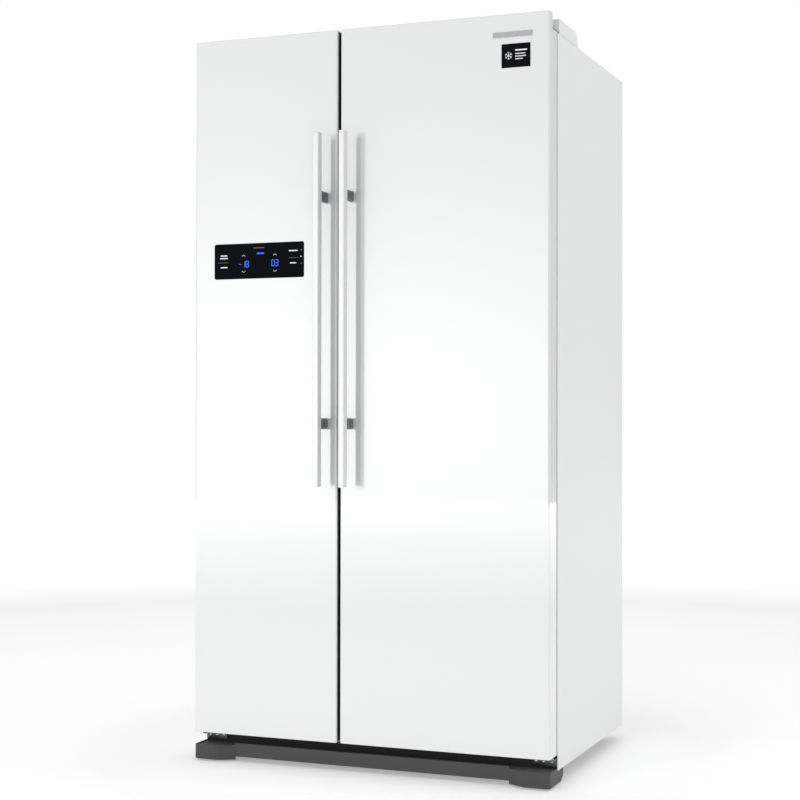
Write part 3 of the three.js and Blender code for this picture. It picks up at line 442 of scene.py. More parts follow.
def carved(piece: bpy.types.Object, *tools: bpy.types.Object) -> bpy.types.Object:
    """Cuts other shapes from a piece.

    Args:
        piece: The piece.
        tools: The shapes, which are used up.

    Returns:
        The piece.
    """
    for tool in tools:
        modifier = piece.modifiers.new("carve", "BOOLEAN")
        modifier.operation = "DIFFERENCE"
        modifier.solver = "EXACT"
        modifier.object = tool
    bpy.context.view_layer.update()
    evaluated(piece)
    shaded(piece.data)
    for tool in tools:
        bpy.data.objects.remove(tool)
    return piece


def fused(name: str, parts: Sequence[bpy.types.Object]) -> bpy.types.Object:
    """Makes one piece of several.

    Args:
        name: The new piece's name.
        parts: The pieces, which are used up.

    Returns:
        The new piece.
    """
    shape = bmesh.new()
    for part in parts:
        shape.from_mesh(part.data)
    mesh = bpy.data.meshes.new(name)
    shape.to_mesh(mesh)
    shape.free()
    for part in parts:
        bpy.data.objects.remove(part)
    return placed(name, mesh)


def softened(piece: bpy.types.Object, width: float, segments: int = 2) -> bpy.types.Object:
    """Rounds a piece's sharp edges by modifiers that leave its own mesh as it is.

    Args:
        piece: The piece.
        width: The width of the rounding.
        segments: How many faces across it.

    Returns:
        The piece.
    """
    weld = piece.modifiers.new("weld", "WELD")
    weld.merge_threshold = 0.01 * MM
    flat = piece.modifiers.new("flat", "DECIMATE")
    flat.decimate_type = "DISSOLVE"
    flat.angle_limit = math.radians(0.5)
    bevel = piece.modifiers.new("edges", "BEVEL")
    bevel.width = width
    bevel.segments = segments
    bevel.limit_method = "ANGLE"
    bevel.angle_limit = math.radians(35)
    bevel.harden_normals = True
    return piece


# ---- Finishes ----


class Texture(Enum):
    """The fine relief of a finish: how often it repeats in a metre along X, Y and Z."""

    SMOOTH = (0.0, 0.0, 0.0)
    PAINT_PEEL = (420.0, 420.0, 420.0)
    MOULDED = (1500.0, 1500.0, 1500.0)
    BRUSHED_UPRIGHT = (2600.0, 2600.0, 12.0)
    BRUSHED_ACROSS = (14.0, 2200.0, 2200.0)
    CELLS = (260.0, 260.0, 260.0)
    CAST = (700.0, 700.0, 700.0)


class ShaderTree:
    """Short calls for placing and joining nodes in one shader tree."""

    def __init__(self, tree: bpy.types.NodeTree) -> None:
        """Keeps the tree."""
        self.tree = tree

    def add(self, kind: str, values: dict | None = None, **settings: object) -> bpy.types.Node:
        """Places a node.

        Args:
            kind: The node's type.
            values: What each named input takes: a value of its own or another node's output.
            settings: Properties of the node.

        Returns:
            The node.
        """
        node = self.tree.nodes.new(kind)
        for name, value in settings.items():
            setattr(node, name, value)
        for name, value in (values or {}).items():
            if isinstance(value, bpy.types.NodeSocket):
                self.tree.links.new(value, node.inputs[name])
            else:
                node.inputs[name].default_value = value
        return node

    def maths(self, operation: str, a: object, b: object = 0.0, clamped: bool = False) -> bpy.types.NodeSocket:
        """The result of a sum.

        Args:
            operation: The kind of sum.
            a: Its first value or output.
            b: Its second value or output.
            clamped: Whether the result stays between 0 and 1.

        Returns:
            The output that holds the result.
        """
        return self.add("ShaderNodeMath", {0: a, 1: b}, operation=operation, use_clamp=clamped).outputs[0]

    def blended(self, factor: object, a: object, b: object) -> bpy.types.NodeSocket:
        """A colour between two others."""
        return self.add("ShaderNodeMix", {0: factor, 6: a, 7: b}, data_type="RGBA").outputs[2]

    def grouped(self, group: bpy.types.NodeTree, values: dict) -> bpy.types.Node:
        """Places a node group with its own values."""
        return self.add("ShaderNodeGroup", values, node_tree=group)

    def join(self, source: bpy.types.NodeSocket, target: bpy.types.NodeSocket) -> None:
        """Feeds an output into an input."""
        self.tree.links.new(source, target)


def new_group(name: str, takes: dict[str, str], gives: dict[str, str]) -> tuple[ShaderTree, dict, dict]:
    """An empty node group.

    Args:
        name: The group's name.
        takes: The socket type of each input.
        gives: The socket type of each output.

    Returns:
        Its tree, its inputs as outputs to read from, and its outputs as inputs to feed.
    """
    group = bpy.data.node_groups.new(name, "ShaderNodeTree")
    for direction, sockets in (("INPUT", takes), ("OUTPUT", gives)):
        for socket, kind in sockets.items():
            group.interface.new_socket(name=socket, in_out=direction, socket_type=kind)
    tree = ShaderTree(group)
    entry, leave = tree.add("NodeGroupInput"), tree.add("NodeGroupOutput")
    return tree, {n: entry.outputs[n] for n in takes}, {n: leave.inputs[n] for n in gives}


def mottle_group() -> bpy.types.NodeTree:
    """Slow drift of colour and roughness over a surface, as paint and plastic have."""
    tree, takes, gives = new_group(
        "Mottle",
        {
            "Color": "NodeSocketColor",
            "Shade": "NodeSocketColor",
            "Scale": "NodeSocketFloat",
            "Roughness": "NodeSocketFloat",
            "Spread": "NodeSocketFloat",
        },
        {"Color": "NodeSocketColor", "Roughness": "NodeSocketFloat"},
    )
    place = tree.add("ShaderNodeTexCoord").outputs["Object"]
    drift = tree.add("ShaderNodeTexNoise", {"Vector": place, "Scale": takes["Scale"], "Detail": 3.0}).outputs[0]
    fine = tree.maths("MULTIPLY", takes["Scale"], 9.0)
    smear = tree.add("ShaderNodeTexNoise", {"Vector": place, "Scale": fine, "Detail": 4.0}).outputs[0]
    color = tree.blended(drift, takes["Color"], takes["Shade"])
    offset = tree.maths("MULTIPLY", tree.maths("SUBTRACT", smear, 0.5), takes["Spread"])
    tree.join(color, gives["Color"])
    tree.join(tree.maths("ADD", takes["Roughness"], offset, clamped=True), gives["Roughness"])
    return tree.tree


def relief_group() -> bpy.types.NodeTree:
    """Fine height of a surface: paint peel, moulded grain or brushing, by how it is stretched."""
    tree, takes, gives = new_group(
        "Fine relief",
        {"Repeats": "NodeSocketVector", "Detail": "NodeSocketFloat"},
        {"Height": "NodeSocketFloat"},
    )
    place = tree.add("ShaderNodeTexCoord").outputs["Object"]
    stretched = tree.add("ShaderNodeVectorMath", {0: place, 1: takes["Repeats"]}, operation="MULTIPLY").outputs[0]
    noise = tree.add("ShaderNodeTexNoise", {"Vector": stretched, "Scale": 1.0, "Detail": takes["Detail"]})
    tree.join(noise.outputs[0], gives["Height"])
    return tree.tree


def dust_group() -> bpy.types.NodeTree:
    """A thin film of dust on faces that look up."""
    tree, takes, gives = new_group(
        "Settled dust",
        {"Color": "NodeSocketColor", "Roughness": "NodeSocketFloat", "Amount": "NodeSocketFloat"},
        {"Color": "NodeSocketColor", "Roughness": "NodeSocketFloat"},
    )
    normal = tree.add("ShaderNodeNewGeometry").outputs["Normal"]
    up = tree.add("ShaderNodeSeparateXYZ", {0: normal}).outputs["Z"]
    place = tree.add("ShaderNodeTexCoord").outputs["Object"]
    drift = tree.add("ShaderNodeTexNoise", {"Vector": place, "Scale": 7.0, "Detail": 6.0}).outputs[0]
    facing = tree.maths("POWER", tree.maths("MAXIMUM", up, 0.0), 4.0)
    mask = tree.maths("MULTIPLY", tree.maths("MULTIPLY", facing, drift), takes["Amount"], clamped=True)
    tree.join(tree.blended(mask, takes["Color"], DUST_COLOR), gives["Color"])
    rougher = tree.maths("ADD", takes["Roughness"], tree.maths("MULTIPLY", mask, 0.5), clamped=True)
    tree.join(rougher, gives["Roughness"])
    return tree.tree


MOTTLE, RELIEF, DUST = mottle_group(), relief_group(), dust_group()


@dataclass(frozen=True)
class Finish:
    """How one kind of surface looks.

    Attributes:
        color: Its colour.
        roughness: Its roughness.
        slot: The record's slot that pieces of this finish belong to; not used in this script.
        shade: How much darker its colour drifts to, as a share.
        drift: How often in a metre the colour drifts.
        spread: How much its roughness varies.
        texture: Its fine relief.
        depth: The depth of that relief.
        metallic: Whether it is bare metal, from 0 to 1.
        coat: The weight of a clear coat.
        coat_ior: How strongly that coat reflects.
        dust: How much dust lies on its upper faces.
        alpha: How much of what is behind it it hides.
        glow: How strongly it shines by itself.
        specular: How strongly it mirrors, 0.5 being usual.
    """

    color: tuple[float, float, float]
    roughness: float
    slot: str
    shade: float = 0.03
    drift: float = 3.0
    spread: float = 0.06
    texture: Texture = Texture.SMOOTH
    depth: float = 0.0
    metallic: float = 0.0
    coat: float = 0.0
    coat_ior: float = 1.5
    dust: float = 0.0
    alpha: float = 1.0
    glow: float = 0.0
    specular: float = 0.5

    def material(self, name: str) -> bpy.types.Material:
        """Builds the material.

        Args:
            name: The material's name.

        Returns:
            The material.
        """
        material = bpy.data.materials.new(name)
        material.use_nodes = True
        material.node_tree.nodes.clear()
        tree = ShaderTree(material.node_tree)
        shader = tree.add("ShaderNodeBsdfPrincipled", {"Metallic": self.metallic, "Alpha": self.alpha})
        shader.inputs["Specular IOR Level"].default_value = self.specular
        shader.inputs["Coat Weight"].default_value = self.coat
        shader.inputs["Coat Roughness"].default_value = COAT_ROUGHNESS
        shader.inputs["Coat IOR"].default_value = self.coat_ior
        surface = tree.grouped(
            MOTTLE,
            {
                "Color": (*self.color, 1.0),
                "Shade": (*(c * (1 - self.shade) for c in self.color), 1.0),
                "Scale": self.drift,
                "Roughness": self.roughness,
                "Spread": self.spread,
            },
        )
        if self.dust:
            under = {"Color": surface.outputs["Color"], "Roughness": surface.outputs["Roughness"]}
            surface = tree.grouped(DUST, {**under, "Amount": self.dust})
        tree.join(surface.outputs["Color"], shader.inputs["Base Color"])
        tree.join(surface.outputs["Roughness"], shader.inputs["Roughness"])
        if self.depth:
            relief = tree.grouped(RELIEF, {"Repeats": self.texture.value, "Detail": 2.0})
            bump = tree.add("ShaderNodeBump", {"Height": relief.outputs["Height"], "Distance": self.depth})
            tree.join(bump.outputs[0], shader.inputs["Normal"])
        if self.glow:
            shader.inputs["Emission Color"].default_value = (*self.color, 1.0)
            shader.inputs["Emission Strength"].default_value = self.glow
        output = tree.add("ShaderNodeOutputMaterial")
        tree.join(shader.outputs[0], output.inputs[0])
        return material


class Look(Enum):
    """Every finish of the refrigerator."""

    DOOR_PAINT = Finish(
        (0.77, 0.775, 0.78), 0.22, "door_paint", 0.012, 1.5, 0.04, Texture.PAINT_PEEL, 0.02 * MM, coat=1.0, coat_ior=2.6
    )
    CASE_PAINT = Finish(
        (0.83, 0.835, 0.84), 0.38, "case_paint", 0.015, 2.0, 0.06, Texture.PAINT_PEEL, 0.05 * MM, dust=0.12
    )
    BACK_STEEL = Finish(
        (0.55, 0.56, 0.565), 0.42, "case_paint", 0.1, 9.0, 0.12, Texture.BRUSHED_UPRIGHT, 0.02 * MM, metallic=0.6
    )
    WHITE_PLASTIC = Finish((0.82, 0.825, 0.82), 0.3, "white_plastic", 0.02, 4.0, 0.08, Texture.MOULDED, 0.012 * MM)
    TRIM_PLASTIC = Finish((0.74, 0.75, 0.755), 0.24, "white_plastic", 0.03, 6.0, 0.06, Texture.MOULDED, 0.01 * MM)
    CLEAR_PLASTIC = Finish(
        (0.72, 0.8, 0.83), 0.08, "clear_plastic", 0.05, 5.0, 0.04, Texture.MOULDED, 0.004 * MM, alpha=0.32
    )
    FROSTED_PLASTIC = Finish(
        (0.8, 0.85, 0.87), 0.35, "clear_plastic", 0.05, 5.0, 0.08, Texture.MOULDED, 0.02 * MM, alpha=0.6
    )
    SHELF_GLASS = Finish((0.6, 0.72, 0.7), 0.04, "shelf_glass", 0.05, 3.0, 0.02, alpha=0.3)
    FOAM = Finish((0.78, 0.66, 0.38), 0.9, "foam", 0.25, 30.0, 0.1, Texture.CELLS, 0.6 * MM)
    GASKET = Finish((0.28, 0.285, 0.29), 0.62, "gasket", 0.15, 12.0, 0.1, Texture.MOULDED, 0.03 * MM)
    HANDLE = Finish(
        (0.88, 0.885, 0.89), 0.32, "handle_metal", 0.03, 4.0, 0.05, Texture.BRUSHED_UPRIGHT, 0.006 * MM, metallic=0.35
    )
    HANDLE_BACK = Finish((0.1, 0.1, 0.105), 0.45, "handle_metal", 0.1, 20.0, 0.1, Texture.MOULDED, 0.02 * MM)
    MOUNT = Finish((0.15, 0.155, 0.16), 0.36, "mount_metal", 0.12, 40.0, 0.08, Texture.CAST, 0.03 * MM, metallic=0.3)
    DISPLAY_GLASS = Finish((0.003, 0.0034, 0.005), 0.05, "display_glass", 0.2, 5.0, 0.02, specular=0.03)
    # White marks with a little glow: on the display it stands for the backlight, on the printed door label it is a
    # painted highlight.
    WHITE_INK_AND_GLOW = Finish((0.75, 0.77, 0.8), 0.5, "display_glass", 0.1, 60.0, glow=0.12)
    DIM_INK = Finish((0.16, 0.165, 0.175), 0.5, "display_glass", 0.1, 60.0)
    BLUE_LIGHT = Finish((0.02, 0.12, 0.85), 0.4, "display_glass", 0.1, 60.0, glow=0.4)
    LABEL = Finish((0.004, 0.004, 0.005), 0.3, "display_glass", 0.2, 20.0, 0.06, specular=0.05)
    BADGE = Finish((0.6, 0.61, 0.62), 0.28, "handle_metal", 0.05, 20.0, 0.06, metallic=1.0)
    BASE_PLASTIC = Finish(
        (0.054, 0.055, 0.056), 0.5, "base_plastic", 0.12, 14.0, 0.12, Texture.MOULDED, 0.03 * MM, dust=0.5
    )
    DARK_PLASTIC = Finish(
        (0.012, 0.012, 0.013), 0.45, "black_plastic", 0.25, 20.0, 0.12, Texture.MOULDED, 0.03 * MM, dust=0.4
    )
    ZINC = Finish(
        (0.5, 0.51, 0.52), 0.36, "zinc_steel", 0.2, 25.0, 0.15, Texture.BRUSHED_ACROSS, 0.015 * MM,
        metallic=1.0, dust=0.3,
    )
    # Near-black base frame: painted shade that stands for the shadow under the doors, not the frame's own colour.
    FRAME_STEEL_PAINTED_SHADE = Finish(
        (0.02, 0.0202, 0.021), 0.5, "zinc_steel", 0.2, 18.0, 0.12, Texture.PAINT_PEEL, 0.1 * MM, dust=0.4, specular=0.25
    )
    # A darker copy of the zinc for the lower hinges: painted shade for the shadow under the doors.
    HINGE_STEEL_PAINTED_SHADE = Finish(
        (0.16, 0.162, 0.166), 0.34, "zinc_steel", 0.2, 25.0, 0.15, Texture.BRUSHED_ACROSS, 0.015 * MM, metallic=1.0
    )
    BRIGHT_STEEL = Finish((0.7, 0.705, 0.71), 0.2, "zinc_steel", 0.08, 60.0, 0.08, metallic=1.0)
    BLACK_PAINT = Finish(
        (0.012, 0.012, 0.014), 0.3, "black_paint", 0.3, 18.0, 0.12, Texture.PAINT_PEEL, 0.1 * MM, dust=0.8
    )
    COIL = Finish(
        (0.62, 0.63, 0.64), 0.3, "coil_aluminium", 0.12, 30.0, 0.1, Texture.BRUSHED_UPRIGHT, 0.01 * MM,
        metallic=1.0, dust=0.5,
    )
    COPPER = Finish((0.72, 0.34, 0.2), 0.28, "coil_aluminium", 0.3, 35.0, 0.15, metallic=1.0, dust=0.3)
    LAMP = Finish((0.93, 0.96, 1.0), 0.3, "white_plastic", 0.02, 8.0, glow=2.2)
    EDGE_TRIM = Finish((0.05, 0.051, 0.053), 0.45, "black_plastic", 0.12, 9.0, 0.1, Texture.MOULDED, 0.03 * MM)
    RUBBER = Finish((0.02, 0.02, 0.021), 0.75, "base_plastic", 0.2, 30.0, 0.1, Texture.CAST, 0.08 * MM, dust=0.5)

    @property
    def material(self) -> bpy.types.Material:
        """The finish's material, made when it is first asked for."""
        name = f"finish_{self.name.lower()}"
        return bpy.data.materials.get(name) or self.value.material(name)


def dressed(
    piece: bpy.types.Object, look: Look, body: str, replaces: Sequence[str] = ()
) -> bpy.types.Object:
    """Finishes a piece and lets it ride.

    Args:
        piece: The piece.
        look: Its finish.
        body: The frame body that it moves with.
        replaces: The frame nodes that it stands for.

    Returns:
        The piece.
    """
    piece.data.materials.clear()
    piece.data.materials.append(look.material)
    piece.modifiers.new("even", "WEIGHTED_NORMAL").keep_sharp = True
    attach(piece, body)
    if replaces:
        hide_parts(*replaces)
    LOG.info("%s rides on %s in %s", piece.name, body, look.name.lower())
    return piece


def dressed_node(node: str, look: Look, width: float = 0.0) -> None:
    """Finishes a frame node that stays.

    Args:
        node: The node.
        look: Its finish.
        width: How wide its edges are rounded, or nothing.
    """
    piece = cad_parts[node]
    piece.data.materials.clear()
    piece.data.materials.append(look.material)
    shaded(piece.data)
    if width:
        softened(piece, width)
    LOG.info("%s stays, in %s", node, look.name.lower())


def screw(name: str, axis: Axis, at: Place, facing: int, radius: float) -> bpy.types.Object:
    """A pan-head screw with a cross recess.

    Args:
        name: The piece's name.
        axis: The screw's axis.
        at: The middle of the head's flat side.
        facing: Which way the head looks along the axis, 1 or -1.
        radius: The head's radius.

    Returns:
        The piece.
    """
    order = {Axis.X: (1, 2, 0), Axis.Y: (0, 2, 1), Axis.Z: (0, 1, 2)}[axis]
    u, v, w = (at[i] for i in order)
    profile = [
        (0.0, w),
        (radius, w),
        (radius, w + facing * radius * 0.25),
        (radius * 0.86, w + facing * radius * 0.5),
        (radius * 0.5, w + facing * radius * 0.66),
        (0.0, w + facing * radius * 0.7),
    ]
    head = turned(name, axis, (u, v), profile, 20)
    depth = between(w + facing * radius * 0.3, w + facing * radius)
    slots = [
        rounded_block("slot", axis, around(u, radius * a), around(v, radius * b), depth)
        for a, b in ((0.62, 0.13), (0.13, 0.62))
    ]
    return carved(head, *slots)


# ---- Cabinet ----

CABINET = "cabinet"


@dataclass
class Compartment:
    """The space behind one door.

    Attributes:
        prefix: The first word of its nodes' names.
        inner: A shelf's node, which gives the compartment's width.
        ceiling: The height of its ceiling.
        floor: The height of its floor.
        depth: The place of its back wall.
        step_front: The front of the step over the machinery.
        step_top: The top of that step.
    """

    prefix: str
    inner: str
    ceiling: float = 1.688
    floor: float = 0.12
    depth: float = 0.312
    step_front: float = 0.087
    step_top: float = 0.293

    @property
    def x(self) -> Span:
        """Its span along X, which is wider than its shelves by their clearance."""
        return grown(spans(self.inner)[0], 4 * MM)

    def build(self, shelves: Sequence[str], drawers: Sequence[str]) -> None:
        """Makes the liner with its ribs.

        Args:
            shelves: The shelves' nodes.
            drawers: The drawers' nodes.
        """
        node = f"{self.prefix}_liner"
        flange_x, (front, _), flange_z = spans(node)
        sheet = 2 * MM
        shell = self.space("shell", sheet, front + 1.2 * MM, 0.0)
        flange = rounded_block("flange", Axis.Y, flange_x, flange_z, (front, front + sheet), 8 * MM, 0.4 * MM)
        parts = [carved(part, self.space("cavity", 0.0, front - 0.01, 10 * MM)) for part in (shell, flange)]
        supports = [(s, 12 * MM, 7.3 * MM) for s in shelves] + [(d, 22 * MM, 4.3 * MM) for d in drawers]
        for held, behind, drop in supports:
            _, (start, end), (_, top) = spans(held)
            height = (top - drop - 6 * MM, top - drop)
            for wall, way in zip(self.x, (1, -1)):
                span = between(wall - way * MM, wall + way * 9 * MM)
                parts.append(rounded_block("rib", Axis.Y, span, height, (start + behind, end), 2.4 * MM, 3 * MM))
        dressed(fused(f"{self.prefix}_compartment", parts), Look.WHITE_PLASTIC, CABINET, [node])

    def space(self, name: str, by: float, front: float, radius: float) -> bpy.types.Object:
        """The compartment's room as a solid.

        Args:
            name: The solid's name.
            by: How far it grows on every side but the front.
            front: Where it starts.
            radius: The radius of its edges.

        Returns:
            The solid.
        """
        outline = [
            (front, self.floor - by),
            (self.step_front + by, self.floor - by),
            (self.step_front + by, self.step_top - by),
            (self.depth + by, self.step_top - by),
            (self.depth + by, self.ceiling + by),
            (front, self.ceiling + by),
        ]
        solid = loft(name, Axis.X, [(outline, x) for x in grown(self.x, by)])
        if radius:
            shape = bmesh.new()
            shape.from_mesh(solid.data)
            edges = [e for e in shape.edges if max(v.co.y for v in e.verts) > front + MM]
            bmesh.ops.bevel(
                shape, geom=edges, offset=radius, offset_type="OFFSET", segments=5, profile=0.5, affect="EDGES"
            )
            shape.to_mesh(solid.data)
            shape.free()
        return solid


@dataclass
class Case:
    """The painted steel round the cabinet, with the hinge covers on its top.

    Attributes:
        sheet: The thickness of the steel.
        fold: The radius of its front edges.
        frame_edge: The height of the folded frame's lower edge.
    """

    sheet: float = 1 * MM
    fold: float = 2.2 * MM
    frame_edge: float = 0.07

    def build(self) -> None:
        """Makes every piece."""
        self.wrap()
        self.back()
        for side in Side:
            self.hinge_cover(side)
            self.hinge_screws(side)

    def wrap(self) -> None:
        """The sides, the top and the folded frame round both compartments."""
        x, y, z = spans("outer_case")
        piece = rounded_block(
            "cabinet_case", Axis.Y, x, z, y, (0.5 * MM, 0.5 * MM, 4 * MM, 4 * MM), (self.fold, 0.4 * MM)
        )
        inside = grown(x, -self.sheet)
        top = z[1] - self.sheet
        tools = [
            rounded_block("room", Axis.Y, inside, (z[0] - 0.01, top), (y[0] + self.sheet, y[1] + 0.01), 3 * MM),
            rounded_block("foot", Axis.Y, inside, (z[0] - 0.01, self.frame_edge), (y[0] - 0.01, y[1])),
        ]
        depth, gap = (y[0] - 0.01, y[0] + 0.01), 0.3 * MM
        for prefix in ("freezer", "fridge"):
            window_x, _, window_z = spans(f"{prefix}_liner")
            tools.append(rounded_block("window", Axis.Y, grown(window_x, gap), grown(window_z, gap), depth, 8 * MM))
        corner = [(y[1] - 12 * MM, z[0] - MM), (y[1] + MM, z[0] - MM), (y[1] + MM, z[0] + 12 * MM)]
        tools.append(loft("corner", Axis.X, [(corner, end) for end in grown(x, MM)]))
        dressed(carved(piece, *tools), Look.CASE_PAINT, CABINET, ["outer_case"])

    def back(self) -> None:
        """The steel back, with pressed fields, foam plugs and screws, and the machinery's cover."""
        x, y, z = spans("back_panel")
        sheet = rounded_block("cabinet_back", Axis.Y, x, z, (y[0], y[1]), 1 * MM, 0.3 * MM)
        tools = []
        for middle in (-0.225, 0.225):
            for bottom, top in ((z[0] + 0.08, z[0] + 0.7), (z[0] + 0.78, z[1] - 0.08)):
                u, v = around(middle, 0.17), (bottom, top)
                levels = ((-3 * MM, -0.7 * MM), (0.0, -0.6 * MM), (1.5 * MM, 0.01 * MM), (1.5 * MM, MM))
                rings = [
                    (rounded_outline(grown(u, wider), grown(v, wider), [30 * MM + wider] * 4), y[1] + rise)
                    for wider, rise in levels
                ]
                tools.append(loft("field", Axis.Y, rings))
        shaded(carved(sheet, *tools).data, math.radians(4))
        dressed(sheet, Look.BACK_STEEL, CABINET, ["back_panel"])
        dome = [(0, y[1]), (13 * MM, y[1]), (12 * MM, y[1] + 1.4 * MM), (0, y[1] + 1.8 * MM)]
        holes = ((-0.3, z[0] + 0.74), (0.3, z[0] + 0.74), (0.0, z[0] + 0.35), (0.0, z[1] - 0.3))
        plugs = [turned("plug", Axis.Y, hole, dome) for hole in holes]
        dressed(fused("foam_plugs", plugs), Look.WHITE_PLASTIC, CABINET)
        heights = [z[0] + 0.03 + i * (z[1] - z[0] - 0.06) / 5 for i in range(6)]
        places = [(s * 0.444, h) for s in (-1, 1) for h in heights]
        places += [(i * 0.15, z[1] - 12 * MM) for i in (-2, -1, 0, 1, 2)]
        _, _, cover_z = spans("compressor_cover")
        places += [(px, cover_z[1] - 9 * MM) for px in (-0.43, -0.2, 0.2, 0.43)]
        places += [(px, cover_z[0] + 8 * MM) for px in (-0.43, 0.0, 0.43)]
        heads = [screw("head", Axis.Y, (px, y[1], pz), 1, 4.2 * MM) for px, pz in places]
        dressed(fused("back_screws", heads), Look.BRIGHT_STEEL, CABINET)
        dressed_node("compressor_cover", Look.BACK_STEEL, 0.2 * MM)

    def hinge_cover(self, side: Side) -> None:
        """The moulded cap over an upper hinge: low in front, rounded down at the back.

        Args:
            side: The side that the hinge is on.
        """
        word = side.name.lower()
        node = f"hinge_cover_{word}"
        x, y, z = spans(node)
        wall = 2 * MM
        cap = self.cap_shape(f"{node}_cap", x, y, z)
        room = self.cap_shape("room", grown(x, -wall), grown(y, -wall), (z[0] - wall, z[1] - wall))
        pin = around(side.value * PIN_X, 8 * MM)
        mouth = rounded_block("mouth", Axis.Y, pin, (z[0] - MM, z[0] + 5 * MM), (y[0] - MM, y[0] + 3 * MM))
        dressed(carved(cap, room, mouth), Look.CASE_PAINT, CABINET, [node])
        middle = sum(x) / 2
        head = screw(f"hinge_cover_screw_{word}", Axis.Z, (middle, y[0] + 0.1, z[1] - 0.2 * MM), 1, 4.5 * MM)
        dressed(head, Look.BRIGHT_STEEL, CABINET)

    def cap_shape(self, name: str, x: Span, y: Span, z: Span) -> bpy.types.Object:
        """A hinge cover's outer or inner form: an outline in Y and Z, rounded at both sides.

        Args:
            name: The form's name.
            x: Its span along X.
            y: Its span along Y.
            z: Its span along Z.

        Returns:
            The form.
        """
        outline = rounded_outline(y, z, (0.5 * MM, 0.5 * MM, 28 * MM, 4 * MM), 10)
        middle = (sum(y) / 2, sum(z) / 2)
        rings = []
        for inset, place in edge_levels(x, (3 * MM, 3 * MM), 4):
            share = (1 - inset / ((y[1] - y[0]) / 2), 1 - inset / ((z[1] - z[0]) / 2))
            ring = [
                (middle[0] + (p - middle[0]) * share[0], max(z[0], middle[1] + (q - middle[1]) * share[1]))
                for p, q in outline
            ]
            ring = [(p, z[0] if abs(q0 - z[0]) < MM else q) for (p, q), (_, q0) in zip(ring, outline)]
            rings.append((ring, place))
        return loft(name, Axis.X, rings)

    def hinge_screws(self, side: Side) -> None:
        """The steel hinges of one side and their screws.

        Args:
            side: The side that they are on.
        """
        word = side.name.lower()
        dressed_node(f"upper_hinge_{word}", Look.ZINC, 0.5 * MM)
        # The lower hinge takes the darker copy of the zinc: painted shade under the door.
        dressed_node(f"lower_hinge_{word}", Look.HINGE_STEEL_PAINTED_SHADE, 0.5 * MM)
        x, y, z = spans(f"lower_hinge_{word}")
        front = y[1] - 4 * MM
        inner = x[0] if side is Side.RIGHT else x[1]
        heads = [
            screw("head", Axis.Y, (inner + side.value * across, front, z[0] + 10 * MM), -1, 4 * MM)
            for across in (8 * MM, 26 * MM, 44 * MM)
        ]
        dressed(fused(f"lower_hinge_screws_{word}", heads), Look.BRIGHT_STEEL, CABINET)
        low, high, pin, rim = z[0] + 20.2 * MM, z[0] + 21.6 * MM, 5.2 * MM, 9 * MM
        ring = [(pin, low), (rim, low), (rim, high), (pin, high)]
        washer = turned(f"lower_hinge_washer_{word}", Axis.Z, (side.value * PIN_X, y[0] + 10 * MM), ring, 32)
        dressed(washer, Look.BRIGHT_STEEL, CABINET)


# ---- Doors ----


